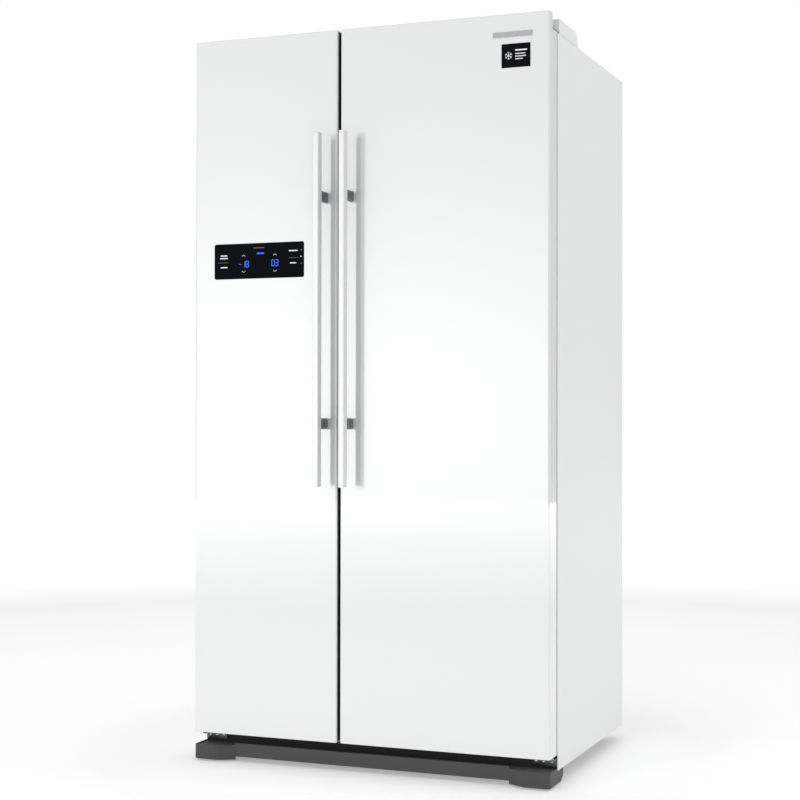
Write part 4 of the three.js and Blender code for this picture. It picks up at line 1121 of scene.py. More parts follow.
@dataclass
class Door:
    """One door with everything that swings with it.

    Attributes:
        prefix: The first word of its nodes' names.
        side: The side that it hangs on.
        bins: How many bins it carries.
        corner: The radius of its upright front edges.
        edge: The radius of its top and bottom front edges.
    """

    prefix: str
    side: Side
    bins: int
    corner: float = 5.5 * MM
    edge: float = 2.4 * MM

    @property
    def body(self) -> str:
        """The frame body of the door."""
        return f"{self.prefix}_door"

    def node(self, name: str) -> str:
        """The full name of one of the door's nodes."""
        return f"{self.prefix}_door_{name}"

    def build(self) -> None:
        """Makes every piece."""
        self.shell()
        self.gap_trim()
        self.liner()
        self.gasket()
        self.handle()
        for i in range(1, self.bins + 1):
            self.bin(self.node(f"bin_{i}"))
        dressed_node(self.node("foam"), Look.FOAM)

    def inward(self, near: float, far: float) -> Span:
        """A span along X measured inwards from the side that the door hangs on.

        Args:
            near: Its smaller distance from that side.
            far: Its greater distance.

        Returns:
            The span.
        """
        x, _, _ = spans(self.node("shell"))
        edge = x[0] if self.side is Side.LEFT else x[1]
        return between(edge - self.side.value * near, edge - self.side.value * far)

    def shell(self) -> None:
        """The painted steel pan, notched for the upper hinge."""
        x, y, z = spans(self.node("shell"))
        piece = rounded_block(
            f"{self.prefix}_door_panel", Axis.Z, x, y, z, (self.corner, self.corner, 1.2 * MM, 1.2 * MM), self.edge
        )
        _, _, case_z = spans("outer_case")
        depth, height = (y[0] + 20 * MM, y[1] + 0.01), (case_z[1] - 3 * MM, z[1] + MM)
        tools = [rounded_block("notch", Axis.Z, self.inward(-MM, 28 * MM), depth, height, 2 * MM)]
        if self.prefix == "freezer":
            (wide, _, high), gap = spans("display_panel"), 0.4 * MM
            recess = (y[0] - 0.01, y[0] + 3 * MM)
            tools.append(rounded_block("recess", Axis.Y, grown(wide, gap), grown(high, gap), recess, 5.4 * MM))
        dressed(carved(piece, *tools), Look.DOOR_PAINT, self.body, [self.node("shell")])

    def gap_trim(self) -> None:
        """The dark strip along the edge that faces the other door."""
        x, y, z = spans(self.node("shell"))
        edge = x[1] if self.side is Side.LEFT else x[0]
        thick = between(edge - self.side.value * 0.6 * MM, edge + self.side.value * MM)
        depth = (y[0] + self.corner + 1 * MM, y[1] - 1 * MM)
        name = f"{self.prefix}_door_gap_trim"
        strip = rounded_block(name, Axis.Z, thick, depth, grown(z, -4 * MM), 0.4 * MM, 0.4 * MM)
        dressed(strip, Look.EDGE_TRIM, self.body)

    def inner_span(self) -> Span:
        """The span between the dykes, a little wider than the bins."""
        return grown(spans(self.node("bin_1"))[0], 1 * MM)

    def liner(self) -> None:
        """The moulded inside: a sheet, a raised field, two dykes and the lugs under the bins."""
        node = self.node("liner")
        x, y, z = spans(node)
        face = y[0] + 2.7 * MM
        height = (z[1] - 38 * MM, z[1] + MM)
        notch = rounded_block("notch", Axis.Z, self.inward(-MM, 29.5 * MM), grown(y, 0.01), height, 2 * MM)
        parts = [carved(rounded_block("sheet", Axis.Y, x, z, (y[0], face), 5 * MM, (0.2 * MM, 1.4 * MM)), notch)]
        inner = self.inner_span()
        dyke = 16 * MM
        low, high = z[0] + 0.4075, z[1] - 0.1005
        slopes = [(0.0, face - MM), (0.0, face), (-0.2, face + 3 * MM)]
        slopes += [(-0.9, y[1] - 4 * MM), (-2.0, y[1] - 1.2 * MM), (-4.0, y[1])]
        for u in ((inner[0] - dyke, inner[0]), (inner[1], inner[1] + dyke)):
            rings = []
            for wider, place in slopes:
                flare = wider * MM
                outline = rounded_outline(grown(u, flare), grown((low, high), flare * 2), [7 * MM + flare] * 4)
                rings.append((outline, place))
            parts.append(loft("dyke", Axis.Y, rings))
        for i in range(1, self.bins + 1):
            bottom = spans(self.node(f"bin_{i}"))[2][0]
            height = (bottom - 8.3 * MM, bottom - 0.3 * MM)
            for u in ((inner[0] - 2 * MM, inner[0] + 8 * MM), (inner[1] - 8 * MM, inner[1] + 2 * MM)):
                parts.append(rounded_block("lug", Axis.Y, u, height, (face - MM, y[1] - 2 * MM), 2 * MM, 2.5 * MM))
        gx, _, gz = spans(self.node("gasket"))
        wide, high = grown(gx, -24 * MM), (gz[0] + 24 * MM, low - 14 * MM)
        rings = [
            (rounded_outline(grown(wide, -inset * MM), grown(high, -inset * MM), [18 * MM] * 4), face + rise * MM)
            for inset, rise in ((0.0, -1.0), (0.0, 0.0), (1.2, 2.4), (3.4, 3.4))
        ]
        parts.append(loft("field", Axis.Y, rings))
        dressed(fused(f"{self.prefix}_door_inside", parts), Look.WHITE_PLASTIC, self.body, [node])

    def gasket(self) -> None:
        """The magnetic seal: a bellows with a soft nose."""
        node = self.node("gasket")
        x, (y0, y1), z = spans(node)
        section = [
            (1.6, 0.0), (12.4, 0.0), (12.4, 1.2), (10.6, 2.0), (13.6, 3.0), (13.6, 3.7), (11.4, 4.5), (14.0, 5.5),
            (14.0, 8.0), (13.2, 8.4), (0.8, 8.4), (0.0, 8.0), (0.0, 5.5), (2.6, 4.5), (0.4, 3.7), (0.4, 3.0),
            (3.4, 2.0), (1.6, 1.2),
        ]
        scaled = [(inset * MM, y0 + depth * (y1 - y0) / 8.4) for inset, depth in section]
        dressed(framed(f"{self.prefix}_door_seal", Axis.Y, x, z, scaled), Look.GASKET, self.body, [node])

    def handle(self) -> None:
        """The bar with its end caps and dark back, and the mounts with their set screws."""
        node = f"{self.prefix}_handle_bar"
        x, y, z = spans(node)
        cap, seam, tight, soft = 5 * MM, y[0] + 4.6 * MM, 0.2 * MM, 1.6 * MM
        low, high = (z[0], z[0] + cap - tight), (z[1] - cap + tight, z[1])
        faces, caps = [], []
        for depth, corners in (
            ((y[0], seam), (2.6 * MM, 2.6 * MM, 0.4 * MM, 0.4 * MM)),
            ((seam + 0.9 * MM, y[1]), (0.4 * MM, 0.4 * MM, 3 * MM, 3 * MM)),
        ):
            faces.append(rounded_block("bar", Axis.Z, x, depth, grown(z, -cap), corners, 0.25 * MM))
            caps.append(rounded_block("cap", Axis.Z, x, depth, low, corners, (soft, tight)))
            caps.append(rounded_block("cap", Axis.Z, x, depth, high, corners, (tight, soft)))
        name = f"{self.prefix}_handle"
        dressed(fused(name, faces), Look.HANDLE, self.body, [node])
        dressed(fused(f"{name}_caps", caps), Look.HANDLE, self.body)
        depth = (seam - 2 * MM, seam + 3 * MM)
        core = rounded_block(f"{name}_core", Axis.Z, grown(x, -0.7 * MM), depth, grown(z, -1.5 * MM), tight)
        dressed(core, Look.HANDLE_BACK, self.body)
        depth = (y[1] - 1.0 * MM, y[1] + 0.2 * MM)
        strip = rounded_block(f"{name}_back", Axis.Z, grown(x, -1.6 * MM), depth, grown(z, -cap), 0.5 * MM, tight)
        dressed(strip, Look.HANDLE_BACK, self.body)
        for end in ("upper", "lower"):
            self.mount(f"{self.prefix}_handle_mount_{end}")

    def mount(self, node: str) -> None:
        """A mount between door and bar, with a screw in each side.

        Args:
            node: The mount's frame node.
        """
        x, y, z = spans(node)
        rings = []
        for share, narrower in ((0.0, 0.9), (0.03, 0.2), (0.08, 0.0), (0.9, 0.0), (0.97, 0.2), (1.0, 0.7)):
            inset = narrower * MM
            place = y[0] + (y[1] - y[0]) * share
            outline = rounded_outline(grown(x, -inset), grown(z, -inset - 1.8 * MM), [5.7 * MM - inset] * 4)
            rings.append((outline, place))
        dressed(loft(f"{node}_block", Axis.Y, rings), Look.MOUNT, self.body, [node])
        middle = (y[0] + 0.4 * (y[1] - y[0]), sum(z) / 2)
        screws = []
        for facing, side in ((-1, x[0]), (1, x[1])):
            levels = ((0, -1), (4.6, -1), (4.6, 0.15), (4.0, 0.45), (2.2, 0.45), (2.0, -0.6), (0, -0.7))
            profile = [(r * MM, side + facing * out * MM) for r, out in levels]
            screws.append(turned("plug", Axis.X, middle, profile, 28))
        dressed(fused(f"{node}_plugs", screws), Look.HANDLE_BACK, self.body)

    def bin(self, node: str) -> None:
        """A clear bin with a white band along its rim.

        Args:
            node: The bin's frame node.
        """
        x, y, z = spans(node)
        corners = (2 * MM, 2 * MM, 18 * MM, 18 * MM)
        tray = open_tray(f"{node}_tray", x, y, z, 3 * MM, corners, 1.5 * MM)
        dressed(tray, Look.CLEAR_PLASTIC, self.body, [node])
        band = self.band(f"{node}_band", x, y, (z[1] - 24 * MM, z[1] - 4 * MM))
        dressed(band, Look.TRIM_PLASTIC, self.body)

    def band(self, name: str, x: Span, y: Span, z: Span) -> bpy.types.Object:
        """A moulded band round the front of a bin, open at the back.

        Args:
            name: The band's name.
            x: The bin's span along X.
            y: The bin's span along Y.
            z: The band's span along Z.

        Returns:
            The band.
        """
        thick = 1.6 * MM
        radius = 18 * MM

        def curve(inset: float) -> list[Point]:
            """The band's line, drawn in by an inset."""
            outline = rounded_outline(grown(x, -inset), grown(y, -inset), (0, 0, radius - inset, radius - inset))
            round_part = outline[2 * (CORNER_STEPS + 1) :]
            return [(x[1] - inset, y[0] + 12 * MM)] + round_part + [(x[0] + inset, y[0] + 12 * MM)]

        outer, inner = curve(-0.8 * MM), curve(thick - 0.8 * MM)
        outline = outer + inner[::-1]
        soft = curve(-0.4 * MM) + curve(thick - 1.2 * MM)[::-1]
        rings = [(soft, z[0]), (outline, z[0] + 0.6 * MM), (outline, z[1] - 0.6 * MM), (soft, z[1])]
        return loft(name, Axis.Z, rings)


@dataclass
class Display:
    """The touch panel in the freezer's door, and the label on the other door.

    Attributes:
        lift: How far a printed mark stands off the surface under it.
        label_x: The label's span along X.
        label_z: The label's span along Z.
        badge_x: The bare plate's span along X.
        badge_z: The bare plate's span along Z.
    """

    lift: float = 0.12 * MM
    label_x: Span = (0.340, 0.4095)
    label_z: Span = (1.6495, 1.7047)
    badge_x: Span = (0.319, 0.415)
    badge_z: Span = (1.7195, 1.7325)

    def build(self) -> None:
        """Makes the panel, its marks and the label."""
        x, y, z = spans("display_panel")
        panel = rounded_block("display_glass", Axis.Y, x, z, y, 5 * MM, (0.5 * MM, 0.2 * MM))
        dressed(panel, Look.DISPLAY_GLASS, "freezer_door", ["display_panel"])
        depth = (y[0] - self.lift, y[0] - self.lift * 0.2)

        def at(u: float, v: float) -> Point:
            """The point at shares of the panel's width and height, from its upper left."""
            return x[0] + u * (x[1] - x[0]), z[1] - v * (z[1] - z[0])

        def line(u0: float, u1: float, v: float, width: float) -> tuple[Point, Point, float]:
            """A level mark with a width in millimetres."""
            return at(u0, v), at(u1, v), width * MM

        blue = self.number("-18", at(0.33, 0.585)) + self.number("03", at(0.68, 0.575))
        blue.append(line(0.477, 0.558, 0.29, 3.4))
        dim = [line(0.44, 0.56, 0.135, 1.6), line(0.04, 0.165, 0.53, 0.8), line(0.835, 0.935, 0.45, 0.8)]
        dim += [line(0.963, 0.978, v, 2.0) for v in (0.24, 0.62)]
        left = ((0.07, 0.145, 0.33), (0.062, 0.15, 0.405), (0.07, 0.145, 0.665))
        bright = [line(u0, u1, v, 2.6) for u0, u1, v in left]
        bright += [line(0.835, 0.93, 0.25, 2.6), line(0.848, 0.915, 0.595, 2.6), line(0.962, 0.972, 0.42, 2.4)]
        for u in (0.33, 0.68):
            for v, way in ((0.34, 1), (0.8, -1)):
                cx, cz = at(u, v)
                bright += [
                    ((cx - s * 4.5 * MM, cz - way * 1.6 * MM), (cx + s * 0.3 * MM, cz + way * 1.8 * MM), 0.9 * MM)
                    for s in (-1, 1)
                ]
        for name, look, lines in (
            ("display_digits", Look.BLUE_LIGHT, blue),
            ("display_marks", Look.WHITE_INK_AND_GLOW, bright),
            ("display_dim_marks", Look.DIM_INK, dim),
        ):
            dressed(strokes(name, lines, depth), look, "freezer_door")
        self.label()

    def number(self, text: str, middle: Point, height: float = 14.5 * MM) -> list[tuple[Point, Point, float]]:
        """Seven-segment digits.

        Args:
            text: The digits.
            middle: Where the middle of the number is.
            height: The height of a digit.

        Returns:
            A mark for every segment.
        """
        segments = {"0": "abcdef", "1": "bc", "3": "abcdg", "8": "abcdefg", "-": "g"}
        wide, pitch, thick = height * 0.48, height * 0.68, height * 0.13
        places = {
            "a": ((0, 1), (1, 1)), "b": ((1, 1), (1, 0.5)), "c": ((1, 0.5), (1, 0)), "d": ((0, 0), (1, 0)),
            "e": ((0, 0.5), (0, 0)), "f": ((0, 1), (0, 0.5)), "g": ((0, 0.5), (1, 0.5)),
        }
        lines = []
        start = middle[0] - (len(text) * pitch - (pitch - wide)) / 2
        for i, digit in enumerate(text):
            for segment in segments[digit]:
                ends = [
                    (start + i * pitch + p * wide, middle[1] + (q - 0.5) * height) for p, q in places[segment]
                ]
                lines.append((ends[0], ends[1], thick))
        return lines

    def label(self) -> None:
        """A dark adhesive label with a snowflake and plain bars, and a small bare plate above it."""
        _, (front, _), _ = spans("fridge_door_shell")
        x, z, stuck = self.label_x, self.label_z, front - 0.02 * MM
        sheet = rounded_block("door_label", Axis.Y, x, z, (front - 0.25 * MM, stuck), 1.5 * MM, 0.05 * MM)
        dressed(sheet, Look.LABEL, "fridge_door")
        cx, cz, reach = x[0] + 17 * MM, sum(z) / 2, 9 * MM
        lines = []
        for k in range(3):
            turn = math.pi * (k / 3 + 1 / 6)
            arm = Vector((math.cos(turn), math.sin(turn))) * reach
            lines.append(((cx - arm.x, cz - arm.y), (cx + arm.x, cz + arm.y), 1.1 * MM))
            for way in (-1, 1):
                knee = (cx + way * 0.6 * arm.x, cz + way * 0.6 * arm.y)
                for bend in (-0.8, 0.8):
                    out = Vector((math.cos(turn + bend), math.sin(turn + bend))) * way * 3.6 * MM
                    lines.append((knee, (knee[0] + out.x, knee[1] + out.y), 0.8 * MM))
        start = x[0] + 33 * MM
        for length, height, width in ((28, 12, 3.2), (24, 4, 2.0), (26, -2, 2.0), (18, -8, 2.0)):
            level = cz + height * MM
            lines.append(((start, level), (start + length * MM, level), width * MM))
        # The label's printed marks glow a little: a painted highlight.
        marks = strokes("door_label_marks", lines, (front - 0.32 * MM, front - 0.26 * MM))
        dressed(marks, Look.WHITE_INK_AND_GLOW, "fridge_door")
        depth = (front - 1.2 * MM, stuck)
        plate = rounded_block("door_badge", Axis.Y, self.badge_x, self.badge_z, depth, 2.5 * MM, (0.5 * MM, 0.05 * MM))
        dressed(plate, Look.BADGE, "fridge_door")


# ---- Inside ----


@dataclass
class Shelf:
    """A glass shelf in a moulded frame.

    Attributes:
        node: Its frame node.
        glass: The thickness of the glass with the frame's lips.
        trim: The depth of the trim along its front.
        over: How far the trim stands above the glass.
    """

    node: str
    glass: float = 5 * MM
    trim: float = 12 * MM
    over: float = 2 * MM

    def build(self) -> None:
        """Makes the frame with its trim, and the glass."""
        x, y, z = spans(self.node)
        top = z[1] - self.over
        low = top - self.glass
        section = [
            (0.5, 0.0), (0.0, 0.5), (0.0, 4.5), (0.5, 5.0), (11.0, 5.0), (11.5, 4.7), (11.5, 4.1), (8.0, 4.1),
            (8.0, 0.9), (11.5, 0.9), (11.5, 0.3), (11.0, 0.0),
        ]
        depth = (y[0] + self.trim / 2, y[1])
        rim = framed("rim", Axis.Z, x, depth, [(u * MM, low + v * MM) for u, v in section])
        corners, deep = (4 * MM, 1 * MM, 1 * MM, 3.5 * MM), (y[0], y[0] + self.trim + 2 * MM)
        trim = rounded_block("trim", Axis.X, deep, z, grown(x, -9 * MM), corners, 2 * MM)
        dressed(fused(f"{self.node}_frame", [rim, trim]), Look.TRIM_PLASTIC, CABINET, [self.node])
        wide, deep, thick = grown(x, -8.3 * MM), grown(depth, -8.3 * MM), (low + 1 * MM, top - 1 * MM)
        pane = rounded_block(f"{self.node}_glass", Axis.Z, wide, deep, thick, 2 * MM, 0.4 * MM)
        dressed(pane, Look.SHELF_GLASS, CABINET)


@dataclass
class Drawer:
    """A clear drawer with a frosted face and a hooked pull.

    Attributes:
        node: Its frame node, which is also its body's name.
        pull: How far the pull stands out of the face.
        face: The thickness of the face.
        lip: The width of the lips that slide on the ribs.
    """

    node: str
    pull: float = 10 * MM
    face: float = 6 * MM
    lip: float = 8 * MM

    def build(self) -> None:
        """Makes the tray, its lips, the face and the pull."""
        x, y, z = spans(self.node)
        front = y[0] + self.pull
        inner = grown(x, -self.lip)
        depth = (front + self.face + 0.1 * MM, y[1])
        tray = open_tray("tray", inner, depth, z, 3 * MM, (1.6 * MM, 1.6 * MM, 10 * MM, 10 * MM), 2.5 * MM)
        lips = [
            rounded_block("lip", Axis.Y, span, (z[1] - 4 * MM, z[1]), (depth[0], y[1] - 6 * MM), 1.6 * MM, 2 * MM)
            for span in ((x[0], inner[0] + 2 * MM), (inner[1] - 2 * MM, x[1]))
        ]
        dressed(fused(f"{self.node}_tray", [tray, *lips]), Look.CLEAR_PLASTIC, self.node, [self.node])
        thick = (front, front + self.face)
        face = rounded_block(f"{self.node}_face", Axis.Y, x, z, thick, 6 * MM, (2 * MM, 0.5 * MM))
        dressed(face, Look.FROSTED_PLASTIC, self.node)
        top = z[1] - 7 * MM
        hook = [
            (front + MM, top - 3 * MM), (front + MM, top), (y[0] + 2.5 * MM, top), (y[0] + 0.6 * MM, top - 0.8 * MM),
            (y[0], top - 2.5 * MM), (y[0], top - 8 * MM), (y[0] + 1 * MM, top - 9 * MM), (y[0] + 2 * MM, top - 8 * MM),
            (y[0] + 2.6 * MM, top - 4 * MM), (y[0] + 4 * MM, top - 3 * MM),
        ]
        middle = (y[0] + self.pull / 2, top - 3 * MM)
        ends = grown(x, -3 * self.lip)
        rings = []
        for shrink, place in ((0.8, ends[0]), (1.0, ends[0] + MM), (1.0, ends[1] - MM), (0.8, ends[1])):
            drawn = [
                (middle[0] + (p - middle[0]) * shrink, middle[1] + (q - middle[1]) * shrink) for p, q in hook
            ]
            rings.append((drawn, place))
        pull = loft("pull", Axis.X, rings)
        height, thick = (z[1] - 5.5 * MM, z[1] - 1.5 * MM), (front - 0.8 * MM, front + MM)
        band = rounded_block("band", Axis.Y, grown(x, -8 * MM), height, thick, 1.6 * MM, (0.5 * MM, 0))
        dressed(fused(f"{self.node}_pull", [pull, band]), Look.TRIM_PLASTIC, self.node)


@dataclass
class IceMaker:
    """The ice maker under the freezer's ceiling.

    Attributes:
        columns: How many cups stand side by side.
        rows: How many cups stand one behind the other.
        knob: The radius of the knob that turns the tray.
    """

    columns: int = 2
    rows: int = 6
    knob: float = 16 * MM

    def build(self) -> None:
        """Makes the tray and the bucket, and finishes the frame."""
        dressed_node("ice_maker_frame", Look.WHITE_PLASTIC, 1.2 * MM)
        self.tray()
        x, y, z = spans("ice_bucket")
        bucket = open_tray("bucket", x, y, z, 3 * MM, [12 * MM] * 4, 4 * MM)
        depth, height = (y[0] - 0.4 * MM, y[0] + 3 * MM), (z[1] - 26 * MM, z[1] - 16 * MM)
        bar = rounded_block("bar", Axis.X, depth, height, grown(x, -30 * MM), 1 * MM, 2 * MM)
        dressed(fused("ice_bucket_tray", [bucket, bar]), Look.FROSTED_PLASTIC, "ice_bucket", ["ice_bucket"])

    def tray(self) -> None:
        """The twelve cups in their skirt, the shaft and the knob."""
        x, (start, end), (low, high) = spans("ice_tray")
        axis = (sum(x) / 2, (low + high) / 2)
        y = (start + 20 * MM, end - 8 * MM)
        z = grown((low, high), -2 * MM)
        cup = ((x[1] - x[0]) / self.columns, (y[1] - y[0]) / self.rows)
        parts = []
        for i in range(self.columns):
            for j in range(self.rows):
                u = (x[0] + i * cup[0], x[0] + (i + 1) * cup[0])
                v = (y[0] + j * cup[1], y[0] + (j + 1) * cup[1])
                parts.append(open_tray("cup", u, v, z, 1.6 * MM, [6 * MM] * 4, 4 * MM))
        hem = ((0, -9), (0, -1), (1, 0), (3, 0), (3, -1), (1.4, -1.4), (1.4, -9))
        parts.append(framed("skirt", Axis.Z, x, y, [(inset * MM, z[1] + rise * MM) for inset, rise in hem]))
        for a, b in ((start + 8 * MM, y[0] + 2 * MM), (y[1] - 2 * MM, end)):
            thick, tip, bevel = 5 * MM, 4.4 * MM, 0.6 * MM
            profile = [(0, a), (tip, a), (thick, a + bevel), (thick, b - bevel), (tip, b), (0, b)]
            parts.append(turned("shaft", Axis.Y, axis, profile, 24))
        dressed(fused("ice_tray_cups", parts), Look.FROSTED_PLASTIC, "ice_tray", ["ice_tray"])
        r = self.knob
        dial = ((0, 3), (0.5, 3), (0.6, 0), (0.94, 0), (1, 1.2), (1, 7), (0.9, 9), (0, 9))
        knob = turned("knob", Axis.Y, axis, [(share * r, start + deep * MM) for share, deep in dial], 36)
        wide, high, depth = around(axis[0], 2.2 * MM), around(axis[1], r * 0.86), (start - 0.2 * MM, start + 5 * MM)
        grip = rounded_block("grip", Axis.Y, wide, high, depth, 2 * MM, 0.6 * MM)
        dressed(fused("ice_tray_knob", [knob, grip]), Look.TRIM_PLASTIC, "ice_tray")


@dataclass
class ColdAir:
    """The coil, fan, covers and lamps of both compartments.

    Attributes:
        lamp: The length and the width of a ceiling lamp.
        lamp_front: The place of its front edge.
    """

    lamp: Point = (150 * MM, 34 * MM)
    lamp_front: float = -185 * MM

    def build(self, compartments: Sequence[Compartment]) -> None:
        """Finishes the nodes and makes a lamp on each ceiling.

        Args:
            compartments: The freezer's compartment and the other one.
        """
        dressed_node("evaporator", Look.COIL)
        dressed_node("evaporator_cover", Look.WHITE_PLASTIC, 0.8 * MM)
        dressed_node("air_duct_cover", Look.WHITE_PLASTIC, 2.0 * MM)
        dressed_node("evaporator_fan", Look.DARK_PLASTIC, 0.4 * MM)
        cover_x, cover_y, cover_z = spans("evaporator_cover")
        fillers = []
        for wall, edge, way in zip(compartments[0].x, cover_x, (1, -1)):
            wide = between(wall - way * 0.1 * MM, edge + way * MM)
            fillers.append(rounded_block("filler", Axis.Z, wide, cover_y, grown(cover_z, 0.2 * MM), 0.3 * MM))
        dressed(fused("evaporator_cover_edges", fillers), Look.WHITE_PLASTIC, CABINET)
        for room in compartments:
            u = around(sum(room.x) / 2, self.lamp[0] / 2)
            v = (self.lamp_front, self.lamp_front + self.lamp[1])
            name, height = f"{room.prefix}_lamp", (room.ceiling - 3 * MM, room.ceiling + 0.5 * MM)
            wide, deep = grown(u, 5 * MM), grown(v, 5 * MM)
            rim = rounded_block(f"{name}_frame", Axis.Z, wide, deep, height, 8 * MM, (1.2 * MM, 0))
            dressed(rim, Look.TRIM_PLASTIC, CABINET)
            height = (room.ceiling - 5 * MM, room.ceiling - 2.9 * MM)
            lens = rounded_block(name, Axis.Z, u, v, height, 5 * MM, (1.5 * MM, 0))
            dressed(lens, Look.LAMP, CABINET)


# ---- Machinery and base ----


@dataclass
class Machinery:
    """Compressor, condenser and fan in the back of the base.

    Attributes:
        radius: The compressor's radius.
        height: The compressor's height.
        pipe: The radius of the pipes.
    """

    radius: float = 78 * MM
    height: float = 158 * MM
    pipe: float = 2.2 * MM

    def build(self) -> None:
        """Makes the compressor and its pipes and finishes the nodes that stay."""
        x, y, z = spans("compressor")
        middle = (x[0] + self.radius + 14 * MM, sum(y) / 2)
        self.compressor(middle, z[0])
        self.pipes(middle, z[0] + 8 * MM)
        dressed_node("condenser", Look.COIL)
        dressed_node("condenser_fan", Look.DARK_PLASTIC, 0.4 * MM)
        dressed_node("fan_shroud", Look.ZINC, 0.3 * MM)
        dressed_node("drip_tray", Look.DARK_PLASTIC, 0.5 * MM)

    def compressor(self, middle: Point, floor: float) -> None:
        """The welded pot on its plate, four rubber feet and the terminal box.

        Args:
            middle: The pot's middle, seen from above.
            floor: The height that the feet stand on.
        """
        r, h, bottom = self.radius, self.height, floor + 8 * MM
        lower = [(0.0, 0.0), (0.7, 0.0), (0.82, 0.02), (0.92, 0.075), (0.975, 0.14), (1.0, 0.215), (1.0, 0.485)]
        seam = [(1.035, 0.49), (1.035, 0.515)]
        upper = [(0.995, 0.52), (0.985, 0.66), (0.95, 0.76), (0.87, 0.86), (0.74, 0.93), (0.55, 0.975), (0.3, 0.995)]
        profile = [(p * r, bottom + q * h) for p, q in lower + seam + upper + [(0.0, 1.0)]]
        pot = turned("pot", Axis.Z, middle, profile, 72)
        wide, deep, thick = around(middle[0], r + 14 * MM), around(middle[1], r * 0.6), (bottom, bottom + 3.5 * MM)
        plate = rounded_block("plate", Axis.Z, wide, deep, thick, 14 * MM, 0.6 * MM)
        dressed(fused("compressor_pot", [pot, plate]), Look.BLACK_PAINT, CABINET, ["compressor"])
        u, v = (middle[0] + r * 0.72, middle[0] + r + 26 * MM), around(middle[1], 26 * MM)
        height, edges = (bottom + 40 * MM, bottom + 96 * MM), (0.5 * MM, 3 * MM)
        box = rounded_block("compressor_terminal_box", Axis.X, v, height, u, 6 * MM, edges)
        dressed(box, Look.DARK_PLASTIC, CABINET)
        feet, bolts = [], []
        for s in (-1, 1):
            for t in (-1, 1):
                at = (middle[0] + s * (r + 3 * MM), middle[1] + t * (r * 0.6 - 11 * MM))
                levels = [(0, 0), (9, 0), (9, 3), (6.5, 4), (6.5, 5), (9, 6), (9, 8)]
                levels += [(10, 11.5), (9.5, 14.5), (0, 14.5)]
                feet.append(turned("foot", Axis.Z, at, [(p * MM, floor + q * MM) for p, q in levels], 28))
                bolts.append(screw("bolt", Axis.Z, (at[0], at[1], floor + 14.5 * MM), 1, 5.5 * MM))
        dressed(fused("compressor_feet", feet), Look.RUBBER, CABINET)
        dressed(fused("compressor_bolts", bolts), Look.BRIGHT_STEEL, CABINET)

    def pipes(self, middle: Point, bottom: float) -> None:
        """The copper lines between pot, coil and insulation, and the coil's bends.

        Args:
            middle: The pot's middle, seen from above.
            bottom: The height of the pot's lower end.
        """
        x, _, _ = spans("condenser")
        _, shroud_y, _ = spans("fan_shroud")
        r = self.radius
        rows, heights = (0.227, 0.277), (0.1093, 0.1527)
        behind = shroud_y[1] + 3.6 * MM
        left = middle[0] - r
        gap_x = x[1] + 4 * MM
        out, port, crossing = left - 16 * MM, bottom + 0.6 * self.height, 0.21
        discharge = [
            (left + 6 * MM, middle[1] + 20 * MM, port),
            (out, middle[1] + 20 * MM, port),
            (out, behind, port),
            (out, behind, crossing),
            (gap_x, behind, crossing),
            (gap_x, behind, heights[1]),
            (gap_x, rows[1], heights[1]),
            (x[1] - 3 * MM, rows[1], heights[1]),
        ]
        at, start, end, over = middle[0] + 0.3 * r, middle[1] - 0.45 * r, shroud_y[0] + 14 * MM, 8 * MM
        above = bottom + self.height + over
        suction = [(at, start, bottom + 0.9 * self.height), (at, start, above), (at, end, above), (at, end, 0.243)]
        at, start, above = middle[0] - 0.2 * r, middle[1] + 0.5 * r, bottom + 1.08 * self.height
        stub = [(at, start, bottom + 0.85 * self.height), (at, start, above), (at, middle[1] + 0.95 * r, above)]
        lines = ((discharge, self.pipe), (suction, 3.6 * MM), (stub, 3 * MM))
        parts = [tube("pipe", path, radius, 14 * MM) for path, radius in lines]
        dressed(fused("copper_pipes", parts), Look.COPPER, CABINET)
        bends = []
        for row in rows:
            ends = [(x[0] + 2 * MM, row, h) for h in heights]
            out = [(x[0] - 16 * MM, row, h) for h in heights]
            bends.append(tube("bend", [ends[0], out[0], out[1], ends[1]], 4.5 * MM, 16 * MM))
        dressed(fused("condenser_bends", bends), Look.COIL, CABINET)


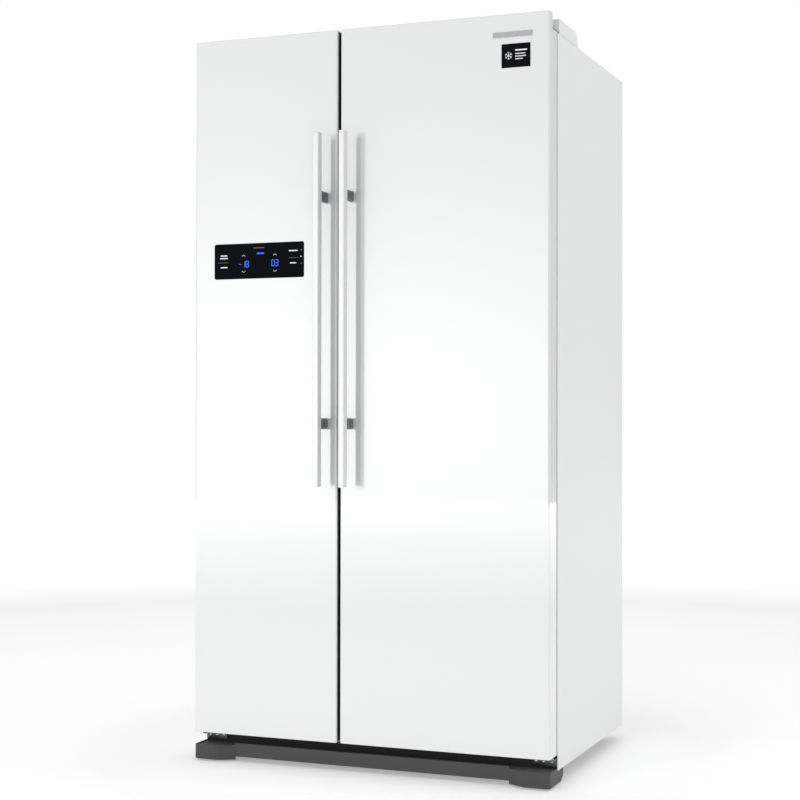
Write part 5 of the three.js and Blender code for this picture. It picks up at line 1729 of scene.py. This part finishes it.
@dataclass
class Base:
    """The base with its cover, legs and rollers.

    Attributes:
        wall: The thickness of the cover.
        slant: How far the slanted part of a foot cover reaches sideways.
        straight: How far its straight front reaches.
        kick_back: How far the kick plate stands behind that front.
        round: The radius of a foot cover's lower back corner.
        rise: The height of a foot cover.
    """

    wall: float = 4 * MM
    slant: float = 40 * MM
    straight: float = 64 * MM
    kick_back: float = 22 * MM
    round: float = 26 * MM
    rise: float = 35.4 * MM

    def build(self) -> None:
        """Makes every piece."""
        # The base frame's near-black finish is painted shade for the shadow under the doors.
        dressed_node("base_frame", Look.FRAME_STEEL_PAINTED_SHADE)
        self.cover()
        for side in Side:
            self.leg(side)
            self.roller(side)

    def strip(self, side: Side, inset: float) -> list[Point]:
        """A foot cover seen from above.

        Args:
            side: The side that it is on.
            inset: How far its outer and inner face are drawn in.

        Returns:
            Its outline.
        """
        half, front, back = self.cover_size()
        inner = half - self.straight
        corners = ((inner - self.slant, front + self.kick_back), (inner, front), (half, front), (half, back))
        path = smooth_path([(u, v, 0.0) for u, v in corners], 11 * MM)
        outline: list[Point] = []
        for depth, points in ((inset, path), (self.wall - inset, path[::-1])):
            for i, at in enumerate(points):
                along = points[min(i + 1, len(points) - 1)] - points[max(i - 1, 0)]
                way = -1 if points is path else 1
                normal = Vector((along.y, -along.x)).normalized() * way
                outline.append((side.value * (at.x + normal.x * depth), at.y + normal.y * depth))
        return outline

    def cover_size(self) -> tuple[float, float, float]:
        """The cover's half width, its front and its back."""
        x, y, _ = spans("base_cover")
        return x[1], y[0], y[1]

    def cover(self) -> None:
        """The kick plate between two foot covers that wrap round the cabinet's corners."""
        half, front, back = self.cover_size()
        _, _, (low, top) = spans("base_cover")
        _, (case_front, _), (case_bottom, _) = spans("outer_case")
        parts = []
        high = low + self.rise
        levels = [(0.8 * MM, low), (0.25 * MM, low + 0.25 * MM), (0.0, low + 0.8 * MM)]
        levels += [(0.0, high - 0.8 * MM), (0.25 * MM, high - 0.25 * MM), (0.8 * MM, high)]
        shelf = (high - 4.5 * MM, high - 2.5 * MM)
        for side in Side:
            rings = [(self.strip(side, inset), height) for inset, height in levels]
            turns = [math.pi / 2 * (k / 10 - 1) for k in range(11)]
            centre = (back - self.round, low + self.round)
            arc = [(centre[0] + self.round * math.cos(t), centre[1] + self.round * math.sin(t)) for t in turns]
            behind, beneath = back + 5 * MM, low - 5 * MM
            corner = arc[::-1] + [(centre[0], beneath), (behind, beneath), (behind, centre[1])]
            wide = between(side.value * (half - 30 * MM), side.value * (half + MM))
            heel = loft("heel", Axis.X, [(corner, end) for end in wide])
            height = (case_bottom - 0.3 * MM, high + 5 * MM)
            under = rounded_block("under", Axis.Z, wide, (case_front - 0.3 * MM, behind), height)
            parts.append(carved(loft("foot", Axis.Z, rings), heel, under))
            plan = [(-103, 25), (-63, 3), (-5, 3), (-2, 12), (-2, 64.5), (-103, 64.5)]
            deck = [(side.value * (half + u * MM), front + v * MM) for u, v in plan]
            parts.append(loft("deck", Axis.Z, [(deck, height) for height in shelf]))
        reach = half - self.straight - self.slant + MM
        kick_y = (front + self.kick_back, front + self.kick_back + self.wall)
        corners = (1.2 * MM, 0.5 * MM, 0.5 * MM, 1.2 * MM)
        kick = rounded_block("kick", Axis.X, kick_y, (low + 7.4 * MM, top), (-reach, reach), corners)
        parts.append(rounded_block("deck", Axis.Z, (-reach, reach), (kick_y[1] - MM, front + 64.5 * MM), shelf))
        dressed(fused("kick_plate", [*parts, kick]), Look.BASE_PLASTIC, CABINET, ["base_cover"])

    def leg(self, side: Side) -> None:
        """A levelling leg: a pad with a hexagon and a threaded rod.

        Args:
            side: The side that it is on.
        """
        node = f"levelling_leg_{side.name.lower()}"
        x, y, z = spans(node)
        middle = (sum(x) / 2, sum(y) / 2)
        levels = [(0, 0), (17, 0), (18, 1), (18, 6), (16, 8), (13, 9.5), (0, 10)]
        pad = turned("pad", Axis.Z, middle, [(p * MM, q * MM) for p, q in levels], 48)
        levels = [(0, 9), (11, 9), (11, 15), (9.8, 16), (0, 16)]
        nut = turned("nut", Axis.Z, middle, [(p * MM, q * MM) for p, q in levels], 6)
        root, crest, pitch = 5.2 * MM, 6 * MM, 2 * MM
        thread: list[Point] = [(0.0, 15 * MM), (root, 15 * MM)]
        for i in range(round((z[1] - 18 * MM) / pitch)):
            base = 16 * MM + i * pitch
            thread += [(root, base), (crest, base + 0.7 * MM), (crest, base + 1.0 * MM), (root, base + 1.7 * MM)]
        thread += [(4.6 * MM, z[1]), (0.0, z[1])]
        rod = turned(f"{node}_rod", Axis.Z, middle, thread, 28)
        dressed(fused(f"{node}_foot", [pad, nut]), Look.RUBBER, node, [node])
        dressed(rod, Look.BRIGHT_STEEL, node)

    def roller(self, side: Side) -> None:
        """A rear roller: a grooved tyre on a hub with its axle.

        Args:
            side: The side that it is on.
        """
        node = f"rear_roller_{side.name.lower()}"
        x, y, z = spans(node)
        middle = (sum(y) / 2, sum(z) / 2)
        centre, r = sum(x) / 2, 17 * MM
        half = [(0, 11), (0.3, 11), (0.34, 9), (0.7, 9), (0.74, 11), (0.94, 11), (1.0, 9.6), (1.0, 1), (0.96, 0.6)]
        levels = [(p, -q) for p, q in half] + half[::-1]
        wheel = turned(f"{node}_wheel", Axis.X, middle, [(p * r, centre + q * MM) for p, q in levels], 48)
        dressed(wheel, Look.DARK_PLASTIC, node, [node])
        end = (x[1] - x[0]) / 2
        profile = [(0, -end), (4 * MM, -end), (5 * MM, MM - end), (5 * MM, end - MM), (4 * MM, end), (0, end)]
        axle = turned("axle", Axis.X, middle, [(p, centre + q) for p, q in profile], 24)
        deep, high, wide = around(middle[0], 1.2 * MM), around(middle[1], 3.4 * MM), around(centre, end + 0.2 * MM)
        key = rounded_block("key", Axis.X, deep, high, wide, 0.4 * MM)
        dressed(fused(f"{node}_axle", [axle, key]), Look.BRIGHT_STEEL, node)


# ---- Studio ----


@dataclass
class Studio:
    """The pale room for the picture: floor, soft light and camera.

    Attributes:
        place: The camera's place.
        azimuth: How far round to the right it stands, in degrees.
        rise: How far it looks up, in degrees.
        roll: How far it leans, in degrees.
        lens: Its focal length in millimetres.
        ambient: The strength of the light from all round.
        glow: The strength of the bright patch that the doors mirror.
        glow_turn: How far to the left of the front that patch is, in radians.
        reach: The radius of the floor.
    """

    place: Place = (1.517, -3.881, 0.854)
    azimuth: float = 21.754
    rise: float = -0.504
    roll: float = 0.087
    lens: float = 73.70
    ambient: float = 0.58
    glow: float = 1.15
    glow_turn: float = 0.45
    reach: float = 12.0

    def build(self) -> None:
        """Makes floor, light and camera."""
        self.floor()
        self.world()
        self.lights()
        self.camera()
        bpy.context.scene.view_settings.view_transform = "Standard"

    def floor(self) -> None:
        """A pale round floor that grows brighter outwards and fades into the white round it."""
        material = bpy.data.materials.new("studio_floor")
        material.use_nodes = True
        tree = ShaderTree(material.node_tree)
        shader = material.node_tree.nodes["Principled BSDF"]
        shader.inputs["Roughness"].default_value = 0.7
        shader.inputs["Emission Color"].default_value = (1.0, 1.0, 1.0, 1.0)
        place = tree.add("ShaderNodeTexCoord").outputs["Object"]
        away = tree.add("ShaderNodeVectorMath", {0: place}, operation="LENGTH").outputs["Value"]
        outwards = tree.add("ShaderNodeMapRange", {0: away, 1: 0.8, 2: self.reach}).outputs[0]
        rise = tree.maths("ADD", tree.maths("MULTIPLY", tree.maths("POWER", outwards, 0.7), 1.35), 0.33)
        tree.join(rise, shader.inputs["Emission Strength"])
        shade = tree.add("ShaderNodeMapRange", {0: away, 1: 0.8, 2: 3.5, 3: 0.88, 4: 0.02}).outputs[0]
        tree.join(shade, shader.inputs["Base Color"])
        disc = [(0.0, -0.02), (self.reach, -0.02), (self.reach, 0.0), (0.0, 0.0)]
        floor = turned("studio_floor", Axis.Z, (0.0, 0.0), disc, 96)
        floor.data.materials.append(material)

    def world(self) -> None:
        """White surroundings, brighter towards the front left, seen as plain white by the camera."""
        world = bpy.data.worlds.new("studio")
        bpy.context.scene.world = world
        world.use_nodes = True
        world.node_tree.nodes.clear()
        tree = ShaderTree(world.node_tree)
        way = tree.add("ShaderNodeTexCoord").outputs["Generated"]
        lobe = (-math.sin(self.glow_turn), -math.cos(self.glow_turn), 0.0)
        toward = tree.add("ShaderNodeVectorMath", {0: way, 1: lobe}, operation="DOT_PRODUCT").outputs["Value"]
        sideways = tree.maths("POWER", tree.maths("MAXIMUM", toward, 0.0), 14.0)
        height = tree.maths("DIVIDE", tree.add("ShaderNodeSeparateXYZ", {0: way}).outputs["Z"], 0.15)
        upright = tree.maths("EXPONENT", tree.maths("MULTIPLY", tree.maths("MULTIPLY", height, height), -1.0))
        glow = tree.maths("MULTIPLY", tree.maths("MULTIPLY", sideways, upright), self.glow)
        strength = tree.maths("ADD", glow, self.ambient)
        seen = tree.add("ShaderNodeLightPath").outputs["Is Camera Ray"]
        shown = tree.add("ShaderNodeMix", {0: seen, 2: strength, 3: 1.0}, data_type="FLOAT").outputs[0]
        background = tree.add("ShaderNodeBackground", {"Color": (1.0, 1.0, 1.0, 1.0), "Strength": shown})
        output = tree.add("ShaderNodeOutputWorld")
        tree.join(background.outputs[0], output.inputs[0])

    def lights(self) -> None:
        """Soft lights overhead, from the front left and from the right, which no surface mirrors."""
        for name, place, aim, size, power in (
            ("overhead", (0.3, -0.6, 3.6), (0.0, -0.2, 0.0), 3.2, 12.0),
            ("key", (-2.7, -6.1, 1.3), (0.0, -0.3, 0.9), 0.9, 110.0),
            ("fill", (5.0, 0.6, 1.6), (0.4, 0.0, 0.9), 2.4, 36.0),
        ):
            data = bpy.data.lights.new(name, "AREA")
            data.size = size
            data.energy = power
            light = bpy.data.objects.new(name, data)
            light.location = place
            light.rotation_euler = (Vector(aim) - Vector(place)).to_track_quat("-Z", "Y").to_euler()
            light.visible_glossy = False
            bpy.context.scene.collection.objects.link(light)

    def camera(self) -> None:
        """The camera, level in front of the right door's side."""
        data = bpy.data.cameras.new("camera")
        data.lens = self.lens
        data.sensor_width = 36.0
        camera = bpy.data.objects.new("camera", data)
        turn, rise, roll = (math.radians(v) for v in (self.azimuth, self.rise, self.roll))
        back = Vector((math.sin(turn) * math.cos(rise), -math.cos(turn) * math.cos(rise), math.sin(rise)))
        right = (-back).cross(Vector((0, 0, 1))).normalized()
        up = right.cross(-back)
        sideways = math.cos(roll) * right + math.sin(roll) * up
        upright = math.cos(roll) * up - math.sin(roll) * right
        camera.matrix_world = Matrix.Translation(self.place) @ Matrix((sideways, upright, back)).transposed().to_4x4()
        bpy.context.scene.collection.objects.link(camera)
        bpy.context.scene.camera = camera


def main() -> None:
    """Builds the refrigerator from the outside in, then the studio."""
    logging.basicConfig(level=logging.INFO, format="%(name)s: %(message)s")
    Case().build()
    freezer = Compartment("freezer", "freezer_shelf_upper")
    fridge = Compartment("fridge", "fridge_shelf_upper")
    freezer_shelves = ["freezer_shelf_lower", "freezer_shelf_upper"]
    fridge_shelves = ["crisper_cover", "fridge_shelf_lower", "fridge_shelf_middle", "fridge_shelf_upper"]
    freezer_drawers = ["freezer_drawer_lower", "freezer_drawer_upper"]
    crisper_drawers = ["crisper_drawer_lower", "crisper_drawer_upper"]
    freezer.build(freezer_shelves, freezer_drawers)
    fridge.build(fridge_shelves, crisper_drawers)
    dressed_node("insulation", Look.FOAM)
    Door("freezer", Side.LEFT, 2).build()
    Door("fridge", Side.RIGHT, 3).build()
    Display().build()
    for node in freezer_shelves + fridge_shelves:
        Shelf(node).build()
    for node in freezer_drawers + crisper_drawers:
        Drawer(node).build()
    IceMaker().build()
    ColdAir().build((freezer, fridge))
    Machinery().build()
    Base().build()
    Studio().build()


if __name__ == "__main__":
    main()
